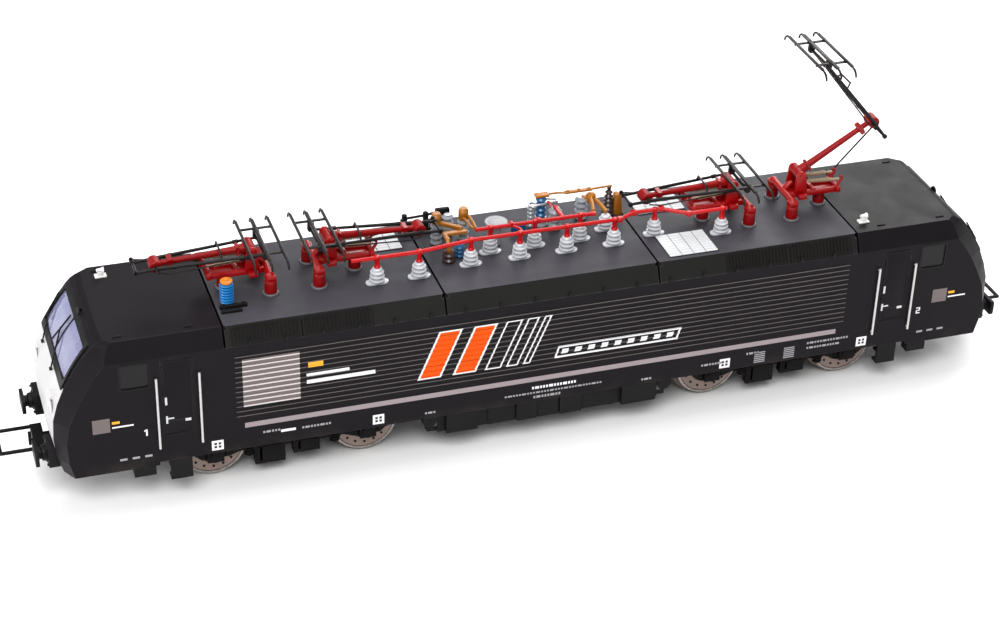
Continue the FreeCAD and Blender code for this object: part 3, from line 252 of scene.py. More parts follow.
# look: material name, colour, roughness, metal, spread of tone, edge wear, worn colour, clear coat, specular.
# Colours are 0 to 255 in the display's curve.
PAINTS = {
    "black": ("black_plastic", (22, 21, 22), 0.5, 0.0, 0.12, 0.12, None, 0.0, 0.14),
    "frame_black": ("frame_black", (20, 18, 18), 0.6, 0.0, 0.12, 0.18, (58, 52, 48), 0.0, 0.12),
    "rubber": ("window_rubber", (9, 9, 9), 0.55, 0.0, 0.12, 0.05, None, 0.0, 0.2),
    # rib: the pale colour of the painted highlight along each rib's crest
    "rib": ("rib_highlight_paint", (78, 72, 70), 0.45, 0.0, 0.12, 0.1, (110, 104, 100), 0.0, 0.4),
    "red": ("red_plastic", (138, 3, 10), 0.34, 0.0, 0.16, 0.08, (164, 18, 24), 0.08, 0.3),
    "bus_red": ("busbar_red", (166, 6, 16), 0.28, 0.0, 0.12, 0.08, (186, 28, 32), 0.12, 0.3),
    "dark_red": ("red_insulator", (122, 2, 9), 0.34, 0.0, 0.16, 0.08, (148, 16, 20), 0.06, 0.28),
    "arm_red": ("arm_red", (122, 3, 8), 0.4, 0.0, 0.14, 0.06, (142, 16, 20), 0.02, 0.16),
    "dark_metal": ("dark_metal", (29, 26, 26), 0.38, 0.3, 0.12, 0.25, (70, 62, 58), 0.0, 0.22),
    "insulator": ("white_insulator", (176, 178, 183), 0.26, 0.0, 0.05, 0.15, (196, 197, 200), 0.3, 0.5),
    "grey_insulator": ("grey_insulator", (128, 132, 136), 0.3, 0.0, 0.08, 0.25, None, 0.35, 0.5),
    "blue": ("blue_insulator", (8, 108, 176), 0.32, 0.0, 0.1, 0.2, (50, 146, 200), 0.3, 0.5),
    "deep_blue": ("deep_blue_insulator", (10, 78, 122), 0.34, 0.0, 0.12, 0.3, (50, 116, 156), 0.3, 0.5),
    "orange_cap": ("orange_cap", (198, 112, 10), 0.4, 0.0, 0.12, 0.3, (236, 170, 76)),
    "ochre": ("ochre_paint", (148, 90, 12), 0.36, 0.1, 0.18, 0.2, (180, 122, 44)),
    "brown": ("brown_insulator", (44, 26, 22), 0.34, 0.0, 0.16, 0.3, (82, 52, 42), 0.3, 0.5),
    "spring": ("spring_beige", (150, 132, 108), 0.38, 0.3, 0.12, 0.3, None),
    "white": ("white_paint", (212, 212, 210), 0.4, 0.0, 0.04, 0.15, (170, 168, 166)),
    "white_front": ("white_front", (192, 191, 190), 0.45, 0.0, 0.04, 0.1, (160, 158, 156)),
    "rail": ("rail_wire", (188, 186, 184), 0.36, 0.2, 0.06, 0.2, (150, 148, 146)),
    "pale": ("pale_grey_paint", (190, 192, 194), 0.45, 0.0, 0.05, 0.2, (206, 206, 206)),
    "disc": ("disc_grey", (140, 140, 142), 0.45, 0.0, 0.05, 0.2, (180, 180, 180)),
    "disc_face": ("brake_disc_face", (134, 117, 109), 0.5, 0.2, 0.12, 0.25, (180, 166, 158)),
    "cast": ("cast_metal", (88, 88, 92), 0.55, 0.5, 0.15, 0.4, None),
    "board": ("board_green", (24, 92, 58), 0.35, 0.0, 0.12, 0.2, None, 0.4, 0.5),
    "cab": ("cab_grey", (120, 120, 138), 0.55, 0.0, 0.08, 0.2, None),
    "grey_ring": ("grey_ring", (84, 84, 88), 0.5, 0.0, 0.1, 0.35, None),
    "print_white": ("print_white", (222, 222, 224), 0.45, 0.0, 0.03, 0.1, (190, 190, 190)),
    "print_pale": ("print_pale", (196, 188, 187), 0.45, 0.0, 0.04, 0.1, (170, 168, 168)),
    "print_grey": ("print_grey", (96, 86, 85), 0.48, 0.0, 0.05, 0.1, (150, 144, 142)),
    "print_dim": ("print_dim", (142, 141, 145), 0.45, 0.0, 0.06, 0.1, (120, 118, 120)),
    "print_stripe": ("print_stripe", (136, 124, 127), 0.45, 0.0, 0.04, 0.1, (166, 160, 160)),
    "print_black": ("print_black", (24, 23, 24), 0.48, 0.0, 0.05, 0.05, None, 0.0, 0.3),
    "print_orange": ("print_orange", (216, 78, 4), 0.45, 0.0, 0.05, 0.06, (226, 110, 44), 0.0, 0.12),
    "print_yellow": ("print_yellow", (230, 160, 20), 0.42, 0.0, 0.05, 0.1, (236, 190, 84)),
}
M = {look: coated(*row) for look, row in PAINTS.items()}
M.update({
    "shell": shell_material(),
    "roof": roof_material(),
    "silver": metal_material("silver_metal", rgb(176, 178, 184), 0.28, stain_amount=0.1),
    "wheel": metal_material("wheel_steel", rgb(112, 98, 92), 0.5, (1, 1, 1), rgb(58, 48, 42), 0.4),
    "tread": metal_material("bright_tread", rgb(170, 164, 158), 0.24, (1, 1, 1), rgb(96, 84, 74), 0.3),
    "steel": metal_material("drive_steel", rgb(150, 150, 154), 0.32),
    "brass": metal_material("brass", rgb(196, 158, 88), 0.3),
    "screen": glass_material("windscreen_clear", rgb(136, 138, 176), 0.1, 0.6, 0.5),
    # side_glass_shade: painted shade, a near-black and nearly opaque glass that stands for the shade inside
    # the cabs
    "side_glass_shade": glass_material("side_window_painted_shade", rgb(24, 22, 23), 0.3, 0.97, 0.04, 0.2),
    "lens": glass_material("lens_clear", rgb(128, 130, 136), 0.1, 0.8, 0.5),
})

# look: the CAD nodes that wear it
NODE_LOOKS = {
    "shell": "body_shell",
    "roof": "roof_panel_left roof_panel_middle roof_panel_right",
    "screen": "windscreens",
    # side_glass_shade: painted shade of the cabs behind the side windows
    "side_glass_shade": "cab_side_windows",
    "lens": "headlight_guides",
    "rail": "door_handrails",
    "black": "windscreen_wipers underframe_boxes door_steps decoder buffers cable_duct",
    "cast": "chassis_frame",
    "steel": "motor_housing motor_shaft drive_shafts body_screws",
    "brass": "flywheels worm_1 worm_2",
    "board": "circuit_board",
    "cab": "cab_interiors",
    "frame_black": "bogie_1 bogie_2 gear_cover_1 gear_cover_2 coupler_1 coupler_2",
    "wheel": "wheelset_1 wheelset_2 wheelset_3 wheelset_4",
    "insulator": "roof_insulators",
    "bus_red": "roof_busbars",
    "ochre": "disconnectors",
    "deep_blue": "main_breaker",
    "blue": "surge_arrester",
    "disc": "vent_disc",
    "pale": "roof_walkways",
    "white": "whistles",
    "red": "pantograph_bases",
    "dark_red": "pantograph_feet",
    "arm_red": "lower_arm_1 lower_arm_2 lower_arm_3 lower_arm_4",
    "dark_metal": "upper_arm_1 head_1 control_rod_1 upper_arm_2 head_2 control_rod_2 upper_arm_3 "
                  "head_3 control_rod_3 upper_arm_4 head_4 control_rod_4",
}


def dress_nodes():
    for look, names in NODE_LOOKS.items():
        for name in names.split():
            for place in frame["nodes"][name].material_slots:
                place.link = "OBJECT"
                place.material = M[look]


# ------------------------------------------------------------------ mesh tools

class Build:
    """Gathers closed pieces of mesh, in millimetres, into one object."""

    def __init__(self):
        self.bm = bmesh.new()

    def ring(self, centre, a, b, radius, sides):
        turn = [2 * math.pi * i / sides for i in range(sides)]
        return [self.bm.verts.new(centre + (a * math.cos(t) + b * math.sin(t)) * radius) for t in turn]

    def skin(self, rings, caps=True, closed=False):
        faces = []
        pairs = list(zip(rings, rings[1:]))
        if closed:
            pairs.append((rings[-1], rings[0]))
        for low, high in pairs:
            count = len(low)
            for i in range(count):
                j = (i + 1) % count
                faces.append(self.bm.faces.new((low[i], low[j], high[j], high[i])))
        if caps and not closed:
            faces.append(self.bm.faces.new(list(reversed(rings[0]))))
            faces.append(self.bm.faces.new(rings[-1]))
        return faces

    def tube(self, points, radius, sides=12, closed=False):
        """A round bar along a run of points. radius is one number, or one for each point."""
        pts = [Vector(p) for p in points]
        radii = radius if isinstance(radius, (list, tuple)) else [radius] * len(pts)
        count = len(pts)
        rings = []
        side = None
        for i in range(count):
            before = pts[i - 1] if (i or closed) else pts[i]
            after = pts[(i + 1) % count] if (i < count - 1 or closed) else pts[i]
            along = (after - before).normalized()
            if side is None:
                side = along.orthogonal().normalized()
            side = (side - along * side.dot(along)).normalized()
            rings.append(self.ring(pts[i], side, along.cross(side), radii[i], sides))
        self.skin(rings, closed=closed)
        return self

    def lathe(self, profile, centre, axis="z", sides=32):
        """A turned shape. profile is a run of (radius, height) from one end to the other."""
        centre = Vector(centre)
        a, b, up = {
            "x": (Vector((0, 1, 0)), Vector((0, 0, 1)), Vector((1, 0, 0))),
            "y": (Vector((0, 0, 1)), Vector((1, 0, 0)), Vector((0, 1, 0))),
            "z": (Vector((1, 0, 0)), Vector((0, 1, 0)), Vector((0, 0, 1))),
        }[axis]
        rings = [self.ring(centre + up * h, a, b, max(r, 0.01), sides) for r, h in profile]
        self.skin(rings)
        return self

    def prism(self, outline, low, high, plane="xz", bevel=0.0, segments=2):
        """A closed outline given thickness across its plane."""
        def spot(u, v, w):
            return {"xz": (u, w, v), "xy": (u, v, w), "yz": (w, u, v)}[plane]
        bottom = [self.bm.verts.new(spot(u, v, low)) for u, v in outline]
        top = [self.bm.verts.new(spot(u, v, high)) for u, v in outline]
        faces = self.skin([bottom, top])
        bmesh.ops.recalc_face_normals(self.bm, faces=faces)
        if bevel:
            edges = dict.fromkeys(e for f in faces for e in f.edges)
            bmesh.ops.bevel(self.bm, geom=list(edges), offset=bevel, segments=segments, affect="EDGES",
                            profile=0.5, clamp_overlap=True)
        return self

    def box(self, low, high, bevel=0.1, segments=2):
        x0, y0, z0 = [min(a, b) for a, b in zip(low, high)]
        x1, y1, z1 = [max(a, b) for a, b in zip(low, high)]
        return self.prism([(x0, y0), (x1, y0), (x1, y1), (x0, y1)], z0, z1, "xy", bevel, segments)

    def spring(self, start, end, radius, wire, turns, sides=6):
        a = Vector(start)
        b = Vector(end)
        along = (b - a).normalized()
        u = along.orthogonal().normalized()
        v = along.cross(u)
        steps = turns * 14
        points = []
        for i in range(steps + 1):
            t = 2 * math.pi * turns * i / steps
            points.append(a + (b - a) * (i / steps) + (u * math.cos(t) + v * math.sin(t)) * radius)
        return self.tube(points, wire, sides)

    def done(self, name, look, body, smooth=32.0):
        bmesh.ops.recalc_face_normals(self.bm, faces=self.bm.faces)
        mesh = bpy.data.meshes.new(name)
        bmesh.ops.scale(self.bm, vec=(MM, MM, MM), verts=self.bm.verts)
        self.bm.to_mesh(mesh)
        self.bm.free()
        obj = bpy.data.objects.new(name, mesh)
        bpy.context.scene.collection.objects.link(obj)
        mesh.materials.append(M[look])
        mesh.shade_smooth()
        mesh.set_sharp_from_angle(angle=math.radians(smooth))
        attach(obj, body)
        return obj


def arc(centre, radius, start, end, steps):
    """Points on part of a circle, with angles in degrees."""
    turns = [math.radians(start + (end - start) * i / steps) for i in range(steps + 1)]
    return [(centre[0] + radius * math.cos(t), centre[1] + radius * math.sin(t)) for t in turns]


def turned(profile, way):
    """A profile along the positive axis, or its mirror image along the negative one."""
    return profile if way > 0 else [(r, -h) for r, h in reversed(profile)]


def smooth_nodes():
    """Small bevels on the CAD pieces that show, so that their edges catch the light."""
    widths = {
        "body_shell": 0.12, "roof_panel_left": 0.15, "roof_panel_middle": 0.15, "roof_panel_right": 0.15,
        "underframe_boxes": 0.25, "door_steps": 0.12, "bogie_1": 0.15, "bogie_2": 0.15, "coupler_1": 0.1,
        "coupler_2": 0.1, "pantograph_bases": 0.12, "cable_duct": 0.2, "roof_walkways": 0.05,
        "door_handrails": 0.05, "windscreens": 0.05,
    }
    for name, width in widths.items():
        obj = frame["nodes"][name]
        bevel = obj.modifiers.new("edge", "BEVEL")
        bevel.width = width * MM
        bevel.segments = 2
        bevel.limit_method = "ANGLE"
        bevel.angle_limit = math.radians(40)
        bevel.use_clamp_overlap = True
        bevel.harden_normals = False


# ------------------------------------------------------------------ roof equipment

def insulator(build, x, y, deck, top):
    foot = arc((x + 1.45, y), 1.05, -90, 90, 10) + arc((x - 1.45, y), 1.05, 90, 270, 10)
    build.prism(foot, deck, deck + 0.45, "xy", 0.1)
    profile = [(1.3, deck + 0.4), (1.3, deck + 0.55), (1.16, deck + 0.64)]
    step = (top - deck - 1.1) / 3.0
    for level in range(3):
        base = deck + 0.68 + level * step
        wide = 1.68 - 0.1 * level
        profile += [(0.98, base), (wide - 0.1, base + 0.05), (wide, base + 0.18), (wide, base + 0.34),
                    (wide - 0.16, base + 0.48), (0.98, base + step * 0.62), (0.92, base + step * 0.84)]
    profile += [(1.1, top - 0.38), (1.0, top - 0.16), (0.8, top - 0.02), (0.5, top), (0.3, top)]
    build.lathe(profile, (x, y, 0), "z", 28)


INSULATORS = [
    (-36.4, -7.3), (-27.2, -7.3), (-15.2, -5.5), (-4.2, -5.5), (6.5, -5.5), (17.4, -5.5), (27.5, -3.6),
    (42.0, -7.1), (-9.6, -1.6), (0.5, -1.6), (10.9, -1.6), (17.9, 1.2),
]


def bar_post(build, x, y):
    """The short post that carries a busbar on its insulator."""
    profile = [(0.72, INSULATOR_TOP), (0.72, INSULATOR_TOP + 0.3), (0.52, INSULATOR_TOP + 0.5)]
    profile += [(0.5, BAR - 0.5), (0.62, BAR - 0.3), (0.62, BAR + 0.45), (0.4, BAR + 0.6), (0.15, BAR + 0.62)]
    build.lathe(profile, (x, y, 0), "z", 18)


def roof_lines():
    build = Build()
    for x, y in INSULATORS:
        insulator(build, x, y, DECK, INSULATOR_TOP)
    obj = build.done("insulator_set", "insulator", "chassis")
    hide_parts("roof_insulators")
    run = [(-42.0, -7.3), (-27.2, -7.3), (-15.2, -5.5), (18.6, -5.5), (22.5, -3.6), (29.0, -3.6),
           (34.0, -7.1), (43.0, -7.1)]
    build = Build()
    build.tube([(x, y, BAR) for x, y in run], 0.46, 14)
    for x, y in INSULATORS[:8]:
        bar_post(build, x, y)
    for x, y in run[1:-1]:
        build.box((x - 0.6, y - 0.55, BAR - 0.55), (x + 0.6, y + 0.55, BAR + 0.55), 0.15)
    build.tube([(-13.0, -1.6, BAR), (14.0, -1.6, BAR)], 0.46, 14)
    for x, y in INSULATORS[8:11]:
        bar_post(build, x, y)
    for x in (-4.6, 1.6):
        build.box((x - 0.7, -2.2, BAR - 0.3), (x + 0.1, -1.0, BAR + 0.75), 0.12)
    build.tube([(-5.0, -1.6, BAR), (-3.6, -3.4, BAR - 0.1), (-3.4, -5.4, BAR)], 0.3, 10)
    build.box((13.4, -2.15, BAR - 0.35), (14.4, -1.05, BAR + 0.4), 0.15)
    obj = build.done("busbar_set", "bus_red", "chassis")
    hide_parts("roof_busbars")


def shed_stack(build, x, y, low, high, core, wide, count, sides=24):
    """A post insulator: a core with round sheds, evenly spaced."""
    profile = [(core, low)]
    step = (high - low) / count
    for i in range(count):
        z = low + i * step
        profile += [(core, z + step * 0.1), (wide, z + step * 0.35), (wide, z + step * 0.55),
                    (core, z + step * 0.85)]
    profile += [(core, high), (core * 0.6, high + 0.02)]
    build.lathe(profile, (x, y, 0), "z", sides)


def flat_bar(build, a, b, wide, low, high, bevel=0.1):
    """A flat bar on the roof from spot a to spot b, between two heights."""
    run = Vector(b) - Vector(a)
    n = Vector((-run.y, run.x)).normalized() * wide * 0.5
    corners = [Vector(a) + n, Vector(b) + n, Vector(b) - n, Vector(a) - n]
    build.prism([(c.x, c.y) for c in corners], low, high, "xy", bevel)


def switchgear():
    pale = Build()
    ochre = Build()
    brown = Build()
    blue = Build()
    for x, y in ((-19.8, 5.0), (-13.6, 5.3), (-16.3, 8.1)):
        shed_stack(pale, x, y, DECK, 46.1, 0.8, 1.3, 4)
    shed_stack(pale, 14.3, 7.2, DECK, 46.5, 0.95, 1.45, 4)
    for x, y, high in ((-19.8, 5.0, 48.6), (-13.6, 5.3, 48.8)):
        cap = [(0.9, 46.0), (1.1, 46.2), (1.1, high - 0.5), (0.85, high - 0.2), (0.8, high), (0.3, high)]
        ochre.lathe(cap, (x, y, 0), "z", 24)
        ochre.box((x - 0.9, y - 1.25, high - 1.5), (x + 0.5, y - 0.6, high - 0.6), 0.15)
    flat_bar(ochre, (-19.8, 4.8), (-15.2, 0.9), 0.9, 45.9, 46.8, 0.2)
    ochre.prism([(-19.9, 0.9), (-14.6, 0.9), (-14.4, 0.5), (-14.4, -0.3), (-18.8, -0.3), (-19.1, -0.8),
                 (-18.9, -2.5), (-19.9, -2.5)], 45.5, 46.25, "xy", 0.12)
    ochre.tube([(-19.4, -2.3, 45.9), (-19.5, -2.9, 45.3), (-19.3, -2.9, 44.0), (-19.3, -2.9, 43.3)], 0.5, 12)
    ochre.tube([(-13.2, 5.0, 47.4), (-12.6, 4.0, 47.1), (-12.5, 1.5, 46.9), (-12.6, -0.6, 46.8)], 0.34, 12)
    ochre.tube([(-14.0, 4.6, 47.0), (-13.6, 3.0, 46.8), (-13.4, 1.2, 46.6), (-13.1, -0.4, 46.7)], 0.28, 12)
    ochre.lathe([(0.8, 45.2), (1.1, 45.5), (1.1, 47.0), (0.8, 47.3), (0.3, 47.35)], (16.3, 6.6, 0), "z", 24)
    flat_bar(ochre, (14.3, 7.2), (16.3, 6.6), 1.3, 45.7, 46.6, 0.15)
    ochre.tube([(16.0, 6.2, 46.8), (15.2, 2.6, 46.9), (14.5, 0.0, 46.7)], 0.42, 12)
    ochre.tube([(16.8, 6.4, 46.3), (17.6, 3.6, 45.8), (18.1, 1.4, 45.2)], 0.5, 12)
    shed_stack(brown, -19.3, -2.9, DECK, 43.4, 1.15, 1.5, 2, 28)
    shed_stack(blue, -16.4, -1.5, DECK, 43.8, 0.8, 1.1, 3)
    for name, build, look in (("switch_posts", pale, "grey_insulator"), ("switch_arms", ochre, "ochre"),
                              ("cable_bushing", brown, "brown"), ("cable_head", blue, "deep_blue")):
        obj = build.done(name, look, "chassis")
        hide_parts("disconnectors")


def breaker():
    pale = Build()
    foot = [(1.2, DECK), (1.6, DECK + 0.1), (1.6, DECK + 0.5), (1.3, DECK + 0.7), (1.3, 43.0), (0.8, 43.05)]
    pale.lathe(foot, (4.8, 7.0, 0), "z", 28)
    shed_stack(pale, 7.3, 4.6, DECK, 46.1, 1.0, 1.5, 3)
    shed_stack(pale, 2.4, 6.8, DECK, 46.0, 0.55, 0.8, 5, 20)
    blue = Build()
    shed_stack(blue, 4.8, 7.0, 43.0, 48.0, 0.9, 1.2, 4)
    blue.box((-2.6, 4.4, DECK), (0.6, 5.4, 43.0), 0.15)
    silver = Build()
    lever = [(2.2, 6.2, 46.3), (3.4, 5.9, 46.5), (5.4, 6.0, 46.6), (7.8, 6.6, 46.3), (8.5, 6.9, 46.2)]
    silver.tube(lever, 0.34, 12)
    silver.tube(loop((3.0, 6.8, 46.2), 1.0, 16), 0.26, 8, closed=True)
    silver.tube([(4.0, 7.4, 46.7), (6.4, 7.5, 46.9), (8.3, 7.2, 46.7)], 0.24, 10)
    ochre = Build()
    ochre.box((3.3, 6.2, 48.0), (6.5, 7.9, 48.6), 0.15)
    ochre.tube([(6.2, 7.1, 48.3), (7.4, 7.8, 47.9), (8.8, 7.9, 47.85), (10.6, 7.2, 48.0)], 0.26, 10)
    ochre.box((10.2, 6.7, 47.8), (16.6, 7.7, 48.3), 0.12)
    for x in (11.0, 13.6, 16.0):
        ochre.lathe([(0.35, 48.2), (0.35, 48.5), (0.2, 48.6)], (x, 7.2, 0), "z", 12)
    ochre.tube([(16.3, 7.2, 48.05), (19.0, 7.3, 48.1), (21.4, 7.3, 48.15)], 0.26, 10)
    ochre.prism([(21.7, DECK), (23.9, DECK), (23.6, 45.6), (23.0, 46.3), (22.0, 46.1)], 6.4, 8.0, "xz", 0.2)
    brown = Build()
    profile = [(1.6, DECK)]
    for i in range(6):
        z = DECK + 0.15 + i * 1.05
        wide = 1.6 - i * 0.15
        profile += [(wide - 0.4, z), (wide, z + 0.25), (wide, z + 0.4), (wide - 0.45, z + 0.8)]
    profile += [(0.45, DECK + 6.7), (0.5, DECK + 7.2), (0.3, DECK + 7.3)]
    brown.lathe(profile, (20.8, 7.3, 0), "z", 28)
    red = Build()
    red.box((6.75, -1.2, 46.05), (7.65, 4.9, 46.8), 0.2)
    red.tube([(6.5, 4.9, 46.4), (6.2, 5.6, 47.1), (5.7, 5.2, 47.5)], 0.3, 10)
    for name, build, look in (("breaker_base", pale, "grey_insulator"),
                              ("breaker_insulator", blue, "deep_blue"),
                              ("breaker_lever", silver, "silver"), ("breaker_conductor", ochre, "ochre"),
                              ("roof_bushing", brown, "brown"), ("breaker_link", red, "bus_red")):
        obj = build.done(name, look, "chassis")
        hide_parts("main_breaker")


def loop(centre, radius, steps):
    turn = [2 * math.pi * i / steps for i in range(steps)]
    return [(centre[0] + radius * math.cos(t), centre[1] + radius * math.sin(t), centre[2]) for t in turn]


def small_roof_items():
    blue = Build()
    profile = [(1.0, DECK + 0.2)]
    for i in range(7):
        z = DECK + 0.35 + i * 0.66
        profile += [(0.95, z), (1.42, z + 0.12), (1.5, z + 0.3), (1.42, z + 0.44), (0.95, z + 0.56)]
    profile += [(0.9, DECK + 5.05), (0.3, DECK + 5.06)]
    blue.lathe(profile, (-68.4, -6.8, 0), "z", 28)
    cap = Build()
    profile = [(1.15, 5.0), (1.3, 5.1), (1.3, 5.5), (0.9, 5.6), (0.55, 5.65), (0.5, 6.0), (0.2, 6.05)]
    cap.lathe([(radius, DECK + z) for radius, z in profile], (-68.4, -6.8, 0), "z", 24)
    for obj in (blue.done("arrester_body", "blue", "chassis"),
                cap.done("arrester_cap", "orange_cap", "chassis")):
        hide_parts("surge_arrester")
    rails = Build()
    rails.box((-70.4, -9.2, DECK - 0.1), (-64.6, -8.3, DECK + 0.8), 0.15)
    rails.box((-70.4, -10.9, DECK - 0.1), (-66.0, -10.1, DECK + 0.6), 0.15)
    rails.box((-70.0, -10.5, DECK - 0.1), (-69.2, -8.5, DECK + 0.4), 0.1)
    for x in (-69.6, -65.4):
        rails.lathe([(0.3, DECK + 0.75), (0.3, DECK + 1.0), (0.15, DECK + 1.05)], (x, -8.75, 0), "z", 10)
    rails.done("arrester_rails", "black", "chassis")
    disc = Build()
    for profile in ([(1.2, 0.0), (1.1, 4.6), (2.2, 4.8), (2.5, 5.0), (2.5, 5.4), (2.4, 5.5), (0.2, 5.5)],
                    [(1.9, 5.45), (1.9, 5.56), (1.8, 5.6), (0.2, 5.6)]):
        disc.lathe(profile, (-7.2, 1.9, DECK), "z", 40)
    obj = disc.done("vent_cap", "disc", "chassis")
    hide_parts("vent_disc")
    walkways()
    horns = Build()
    for x, y in ((-91.7, 11.0), (74.8, -11.0)):
        horns.box((x - 1.25, y - 0.8, DECK - 0.1), (x + 1.25, y + 0.8, DECK + 0.3), 0.1)
        stand = ((-0.75, 0.2), (0.75, 0.2), (0.42, 1.2), (-0.42, 1.2))
        horns.prism([(x + u, DECK + v) for u, v in stand], y - 0.5, y + 0.5, "xz", 0.12)
        horns.lathe([(0.36, -0.8), (0.42, 0.0), (0.5, 0.35), (0.68, 0.75), (0.56, 0.8), (0.25, 0.5)],
                    (x, y, DECK + 1.45), "x", 20)
    obj = horns.done("whistle_set", "white", "chassis")
    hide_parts("whistles")


def on_cant(x, up, out, side):
    """A spot on the sloping roof side: along the roof, up the slope, and proud of it."""
    slope = Vector((0, -CANT_IN, CANT_UP)).normalized()
    outward = Vector((0, CANT_UP, CANT_IN)).normalized()
    spot = Vector((x, SIDE, 36.7)) + slope * up + outward * out
    return (spot.x, spot.y * side, spot.z)


def walkways():
    """Three grids of pale tiles on dark plates."""
    tiles = Build()
    plates = Build()
    for x0, y0 in ((27.2, -14.3), (27.2, 5.0), (-38.6, 5.0)):
        plates.box((x0, y0, DECK), (x0 + 11.4, y0 + 9.4, DECK + 0.14), 0.04)
        for i in range(4):
            for j in range(9):
                x = x0 + 0.12 + i * 2.82
                y = y0 + 0.12 + j * 1.028
                tiles.box((x, y, DECK + 0.1), (x + 2.68, y + 0.93, DECK + 0.3), 0.05, 1)
    for obj in (tiles.done("walkway_tiles", "pale", "chassis"),
                plates.done("walkway_plates", "black", "chassis")):
        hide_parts("roof_walkways")


def roof_detail():
    """Louvres and their frames, and the catches, on the sloping sides of the roof sections."""
    slats = Build()
    catches = Build()
    for side in (-1, 1):
        for low, high in ((-69.2, -55.4), (-54.4, -40.2), (40.2, 54.4), (55.4, 69.2)):
            count = int((high - low) / SLAT_PITCH)
            for i in range(count):
                slat(slats, low + (i + 0.5) * (high - low) / count, side)
        for low, high in ((-69.6, -54.9), (-54.9, -39.8), (39.8, 54.9), (54.9, 69.6)):
            corners = ((low, 0.15), (high, 0.15), (high, 3.75), (low, 3.75))
            for a, b in zip(corners, corners[1:] + corners[:1]):
                slats.tube([on_cant(*a, 0.03, side), on_cant(*b, 0.03, side)], 0.13, 6)
        y0, y1 = sorted((side * (SIDE + 0.13), side * (SIDE - 0.25)))
        for i in range(18):
            x = -66.0 + 7.72 * i
            catches.prism([(x - 0.65, 36.6), (x + 0.65, 36.6), (x + 0.12, 37.9), (x - 0.12, 37.9)], y0, y1,
                          "xz", 0.04)
    slats.done("cant_louvres", "frame_black", "chassis")
    catches.done("roof_catches", "rubber", "chassis")
    lifting_eyes()
    cable_duct()


def slat(slats, x, side):
    """One upright slat of a louvre, narrower at its outer face."""
    slope = Vector((0, CANT_IN, CANT_UP)).normalized()
    outward = Vector((0, -CANT_UP, CANT_IN)).normalized()
    rings = []
    for up in (0.25, 3.75):
        ring = []
        for dx, out in ((-0.24, -0.1), (0.24, -0.1), (0.2, 0.2), (-0.2, 0.2)):
            spot = Vector((x + dx, -17.1, 37.05)) + slope * up + outward * out
            ring.append(slats.bm.verts.new((spot.x, spot.y * -side, spot.z)))
        rings.append(ring)
    slats.skin(rings)


def lifting_eyes():
    grip = Build()
    for end in (-1, 1):
        for side in (-1, 1):
            for x in (end * 78.0, end * 92.5):
                y = side * 13.4
                grip.prism([(x - end * 1.0, y - 0.3), (x + end * 1.0, y - 0.3), (x + end * 0.8, y + 0.3),
                            (x - end * 0.8, y + 0.3)], DECK - 0.1, DECK + 0.22, "xy", 0.08)
    grip.done("lifting_eyes", "shell", "chassis")


def cable_duct():
    """A duct along the far side of the deck, with its riser and two posts."""
    duct = Build()
    duct.box((-26.6, 9.6, DECK), (-18.0, 11.4, DECK + 1.6), 0.2)
    duct.box((-18.4, 9.8, DECK), (-15.2, 11.2, 46.4), 0.3)
    duct.box((-18.2, 9.5, 45.4), (-15.4, 10.2, 46.8), 0.25)
    for x in (-25.4, -20.6):
        duct.box((x - 0.55, 9.9, DECK + 1.4), (x + 0.55, 11.0, 45.4), 0.15)
        duct.lathe([(0.45, 45.2), (0.6, 45.4), (0.6, 45.9), (0.3, 46.1)], (x, 10.5, 0), "z", 16)
    duct.tube([(-26.3, 10.5, 44.6), (-25.4, 10.5, 45.0), (-20.6, 10.5, 45.2), (-18.2, 10.5, 45.6)], 0.3, 10)
    obj = duct.done("duct_set", "black", "chassis")
    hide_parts("cable_duct")


# ------------------------------------------------------------------ pantographs

def joint_point(name):
    """A joint's spot in the rest pose, in millimetres."""
    return Vector(JOINTS[name]["pos_m"]) * 1000.0


def pantograph(k):
    """One pantograph, in its rest pose. way is the direction in X from its front feet to the third foot."""
    way = -JOINTS["pantograph_%d_raise" % k]["axis"][1]
    pivot = joint_point("pantograph_%d_raise" % k)
    knee = joint_point("pantograph_%d_knee" % k)
    top = joint_point("pantograph_%d_head" % k)
    across = Vector((0, 1, 0))
    lower_arm(k, pivot, knee, across)
    upper_arm(k, knee, top, across, way)
    head(k, top)
    feet(k, pivot.x - 3.1 * way, way)
    base(k, pivot.x - 3.1 * way, pivot, way)


def lower_arm(k, pivot, knee, across):
    along = (knee - pivot).normalized()
    build = Build()
    build.tube([pivot - across * 1.7, pivot - across * 1.55, pivot + across * 1.55, pivot + across * 1.7],
               [0.95, 1.15, 1.15, 0.95], 24)
    build.tube([pivot + along * 0.5, pivot + along * 2.0, pivot + along * 3.2, pivot + along * 8.0,
                knee - along * 3.0, knee - along * 0.4], [1.1, 1.05, 0.8, 0.72, 0.6, 0.6], 18)
    build.tube([knee - across * 1.6, knee - across * 1.45, knee + across * 1.45, knee + across * 1.6],
               [1.1, 1.3, 1.3, 1.1], 28)
    collar = Build()
    slab(collar, knee - along * 3.7, knee - along * 2.6, across, 1.25, 0.95)
    slab(collar, pivot + along * 2.3, pivot + along * 3.0, across, 1.1, 1.0)
    for obj in (build.done("lower_arm_tube_%d" % k, "arm_red", "lower_arm_%d" % k),
                collar.done("lower_arm_collar_%d" % k, "dark_red", "lower_arm_%d" % k)):
        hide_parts("lower_arm_%d" % k)


def slab(build, a, b, across, wide, deep):
    """A block along a slanted arm, from spot a to spot b."""
    along = (b - a).normalized()
    up = along.cross(across).normalized()
    rings = []
    for spot, scale in ((a, 0.85), (a + along * 0.12, 1.0), (b - along * 0.12, 1.0), (b, 0.85)):
        u = across * wide * scale
        v = up * deep * scale
        corners = (spot + u + v, spot - u + v, spot - u - v, spot + u - v)
        rings.append([build.bm.verts.new(corner) for corner in corners])
    build.skin(rings)


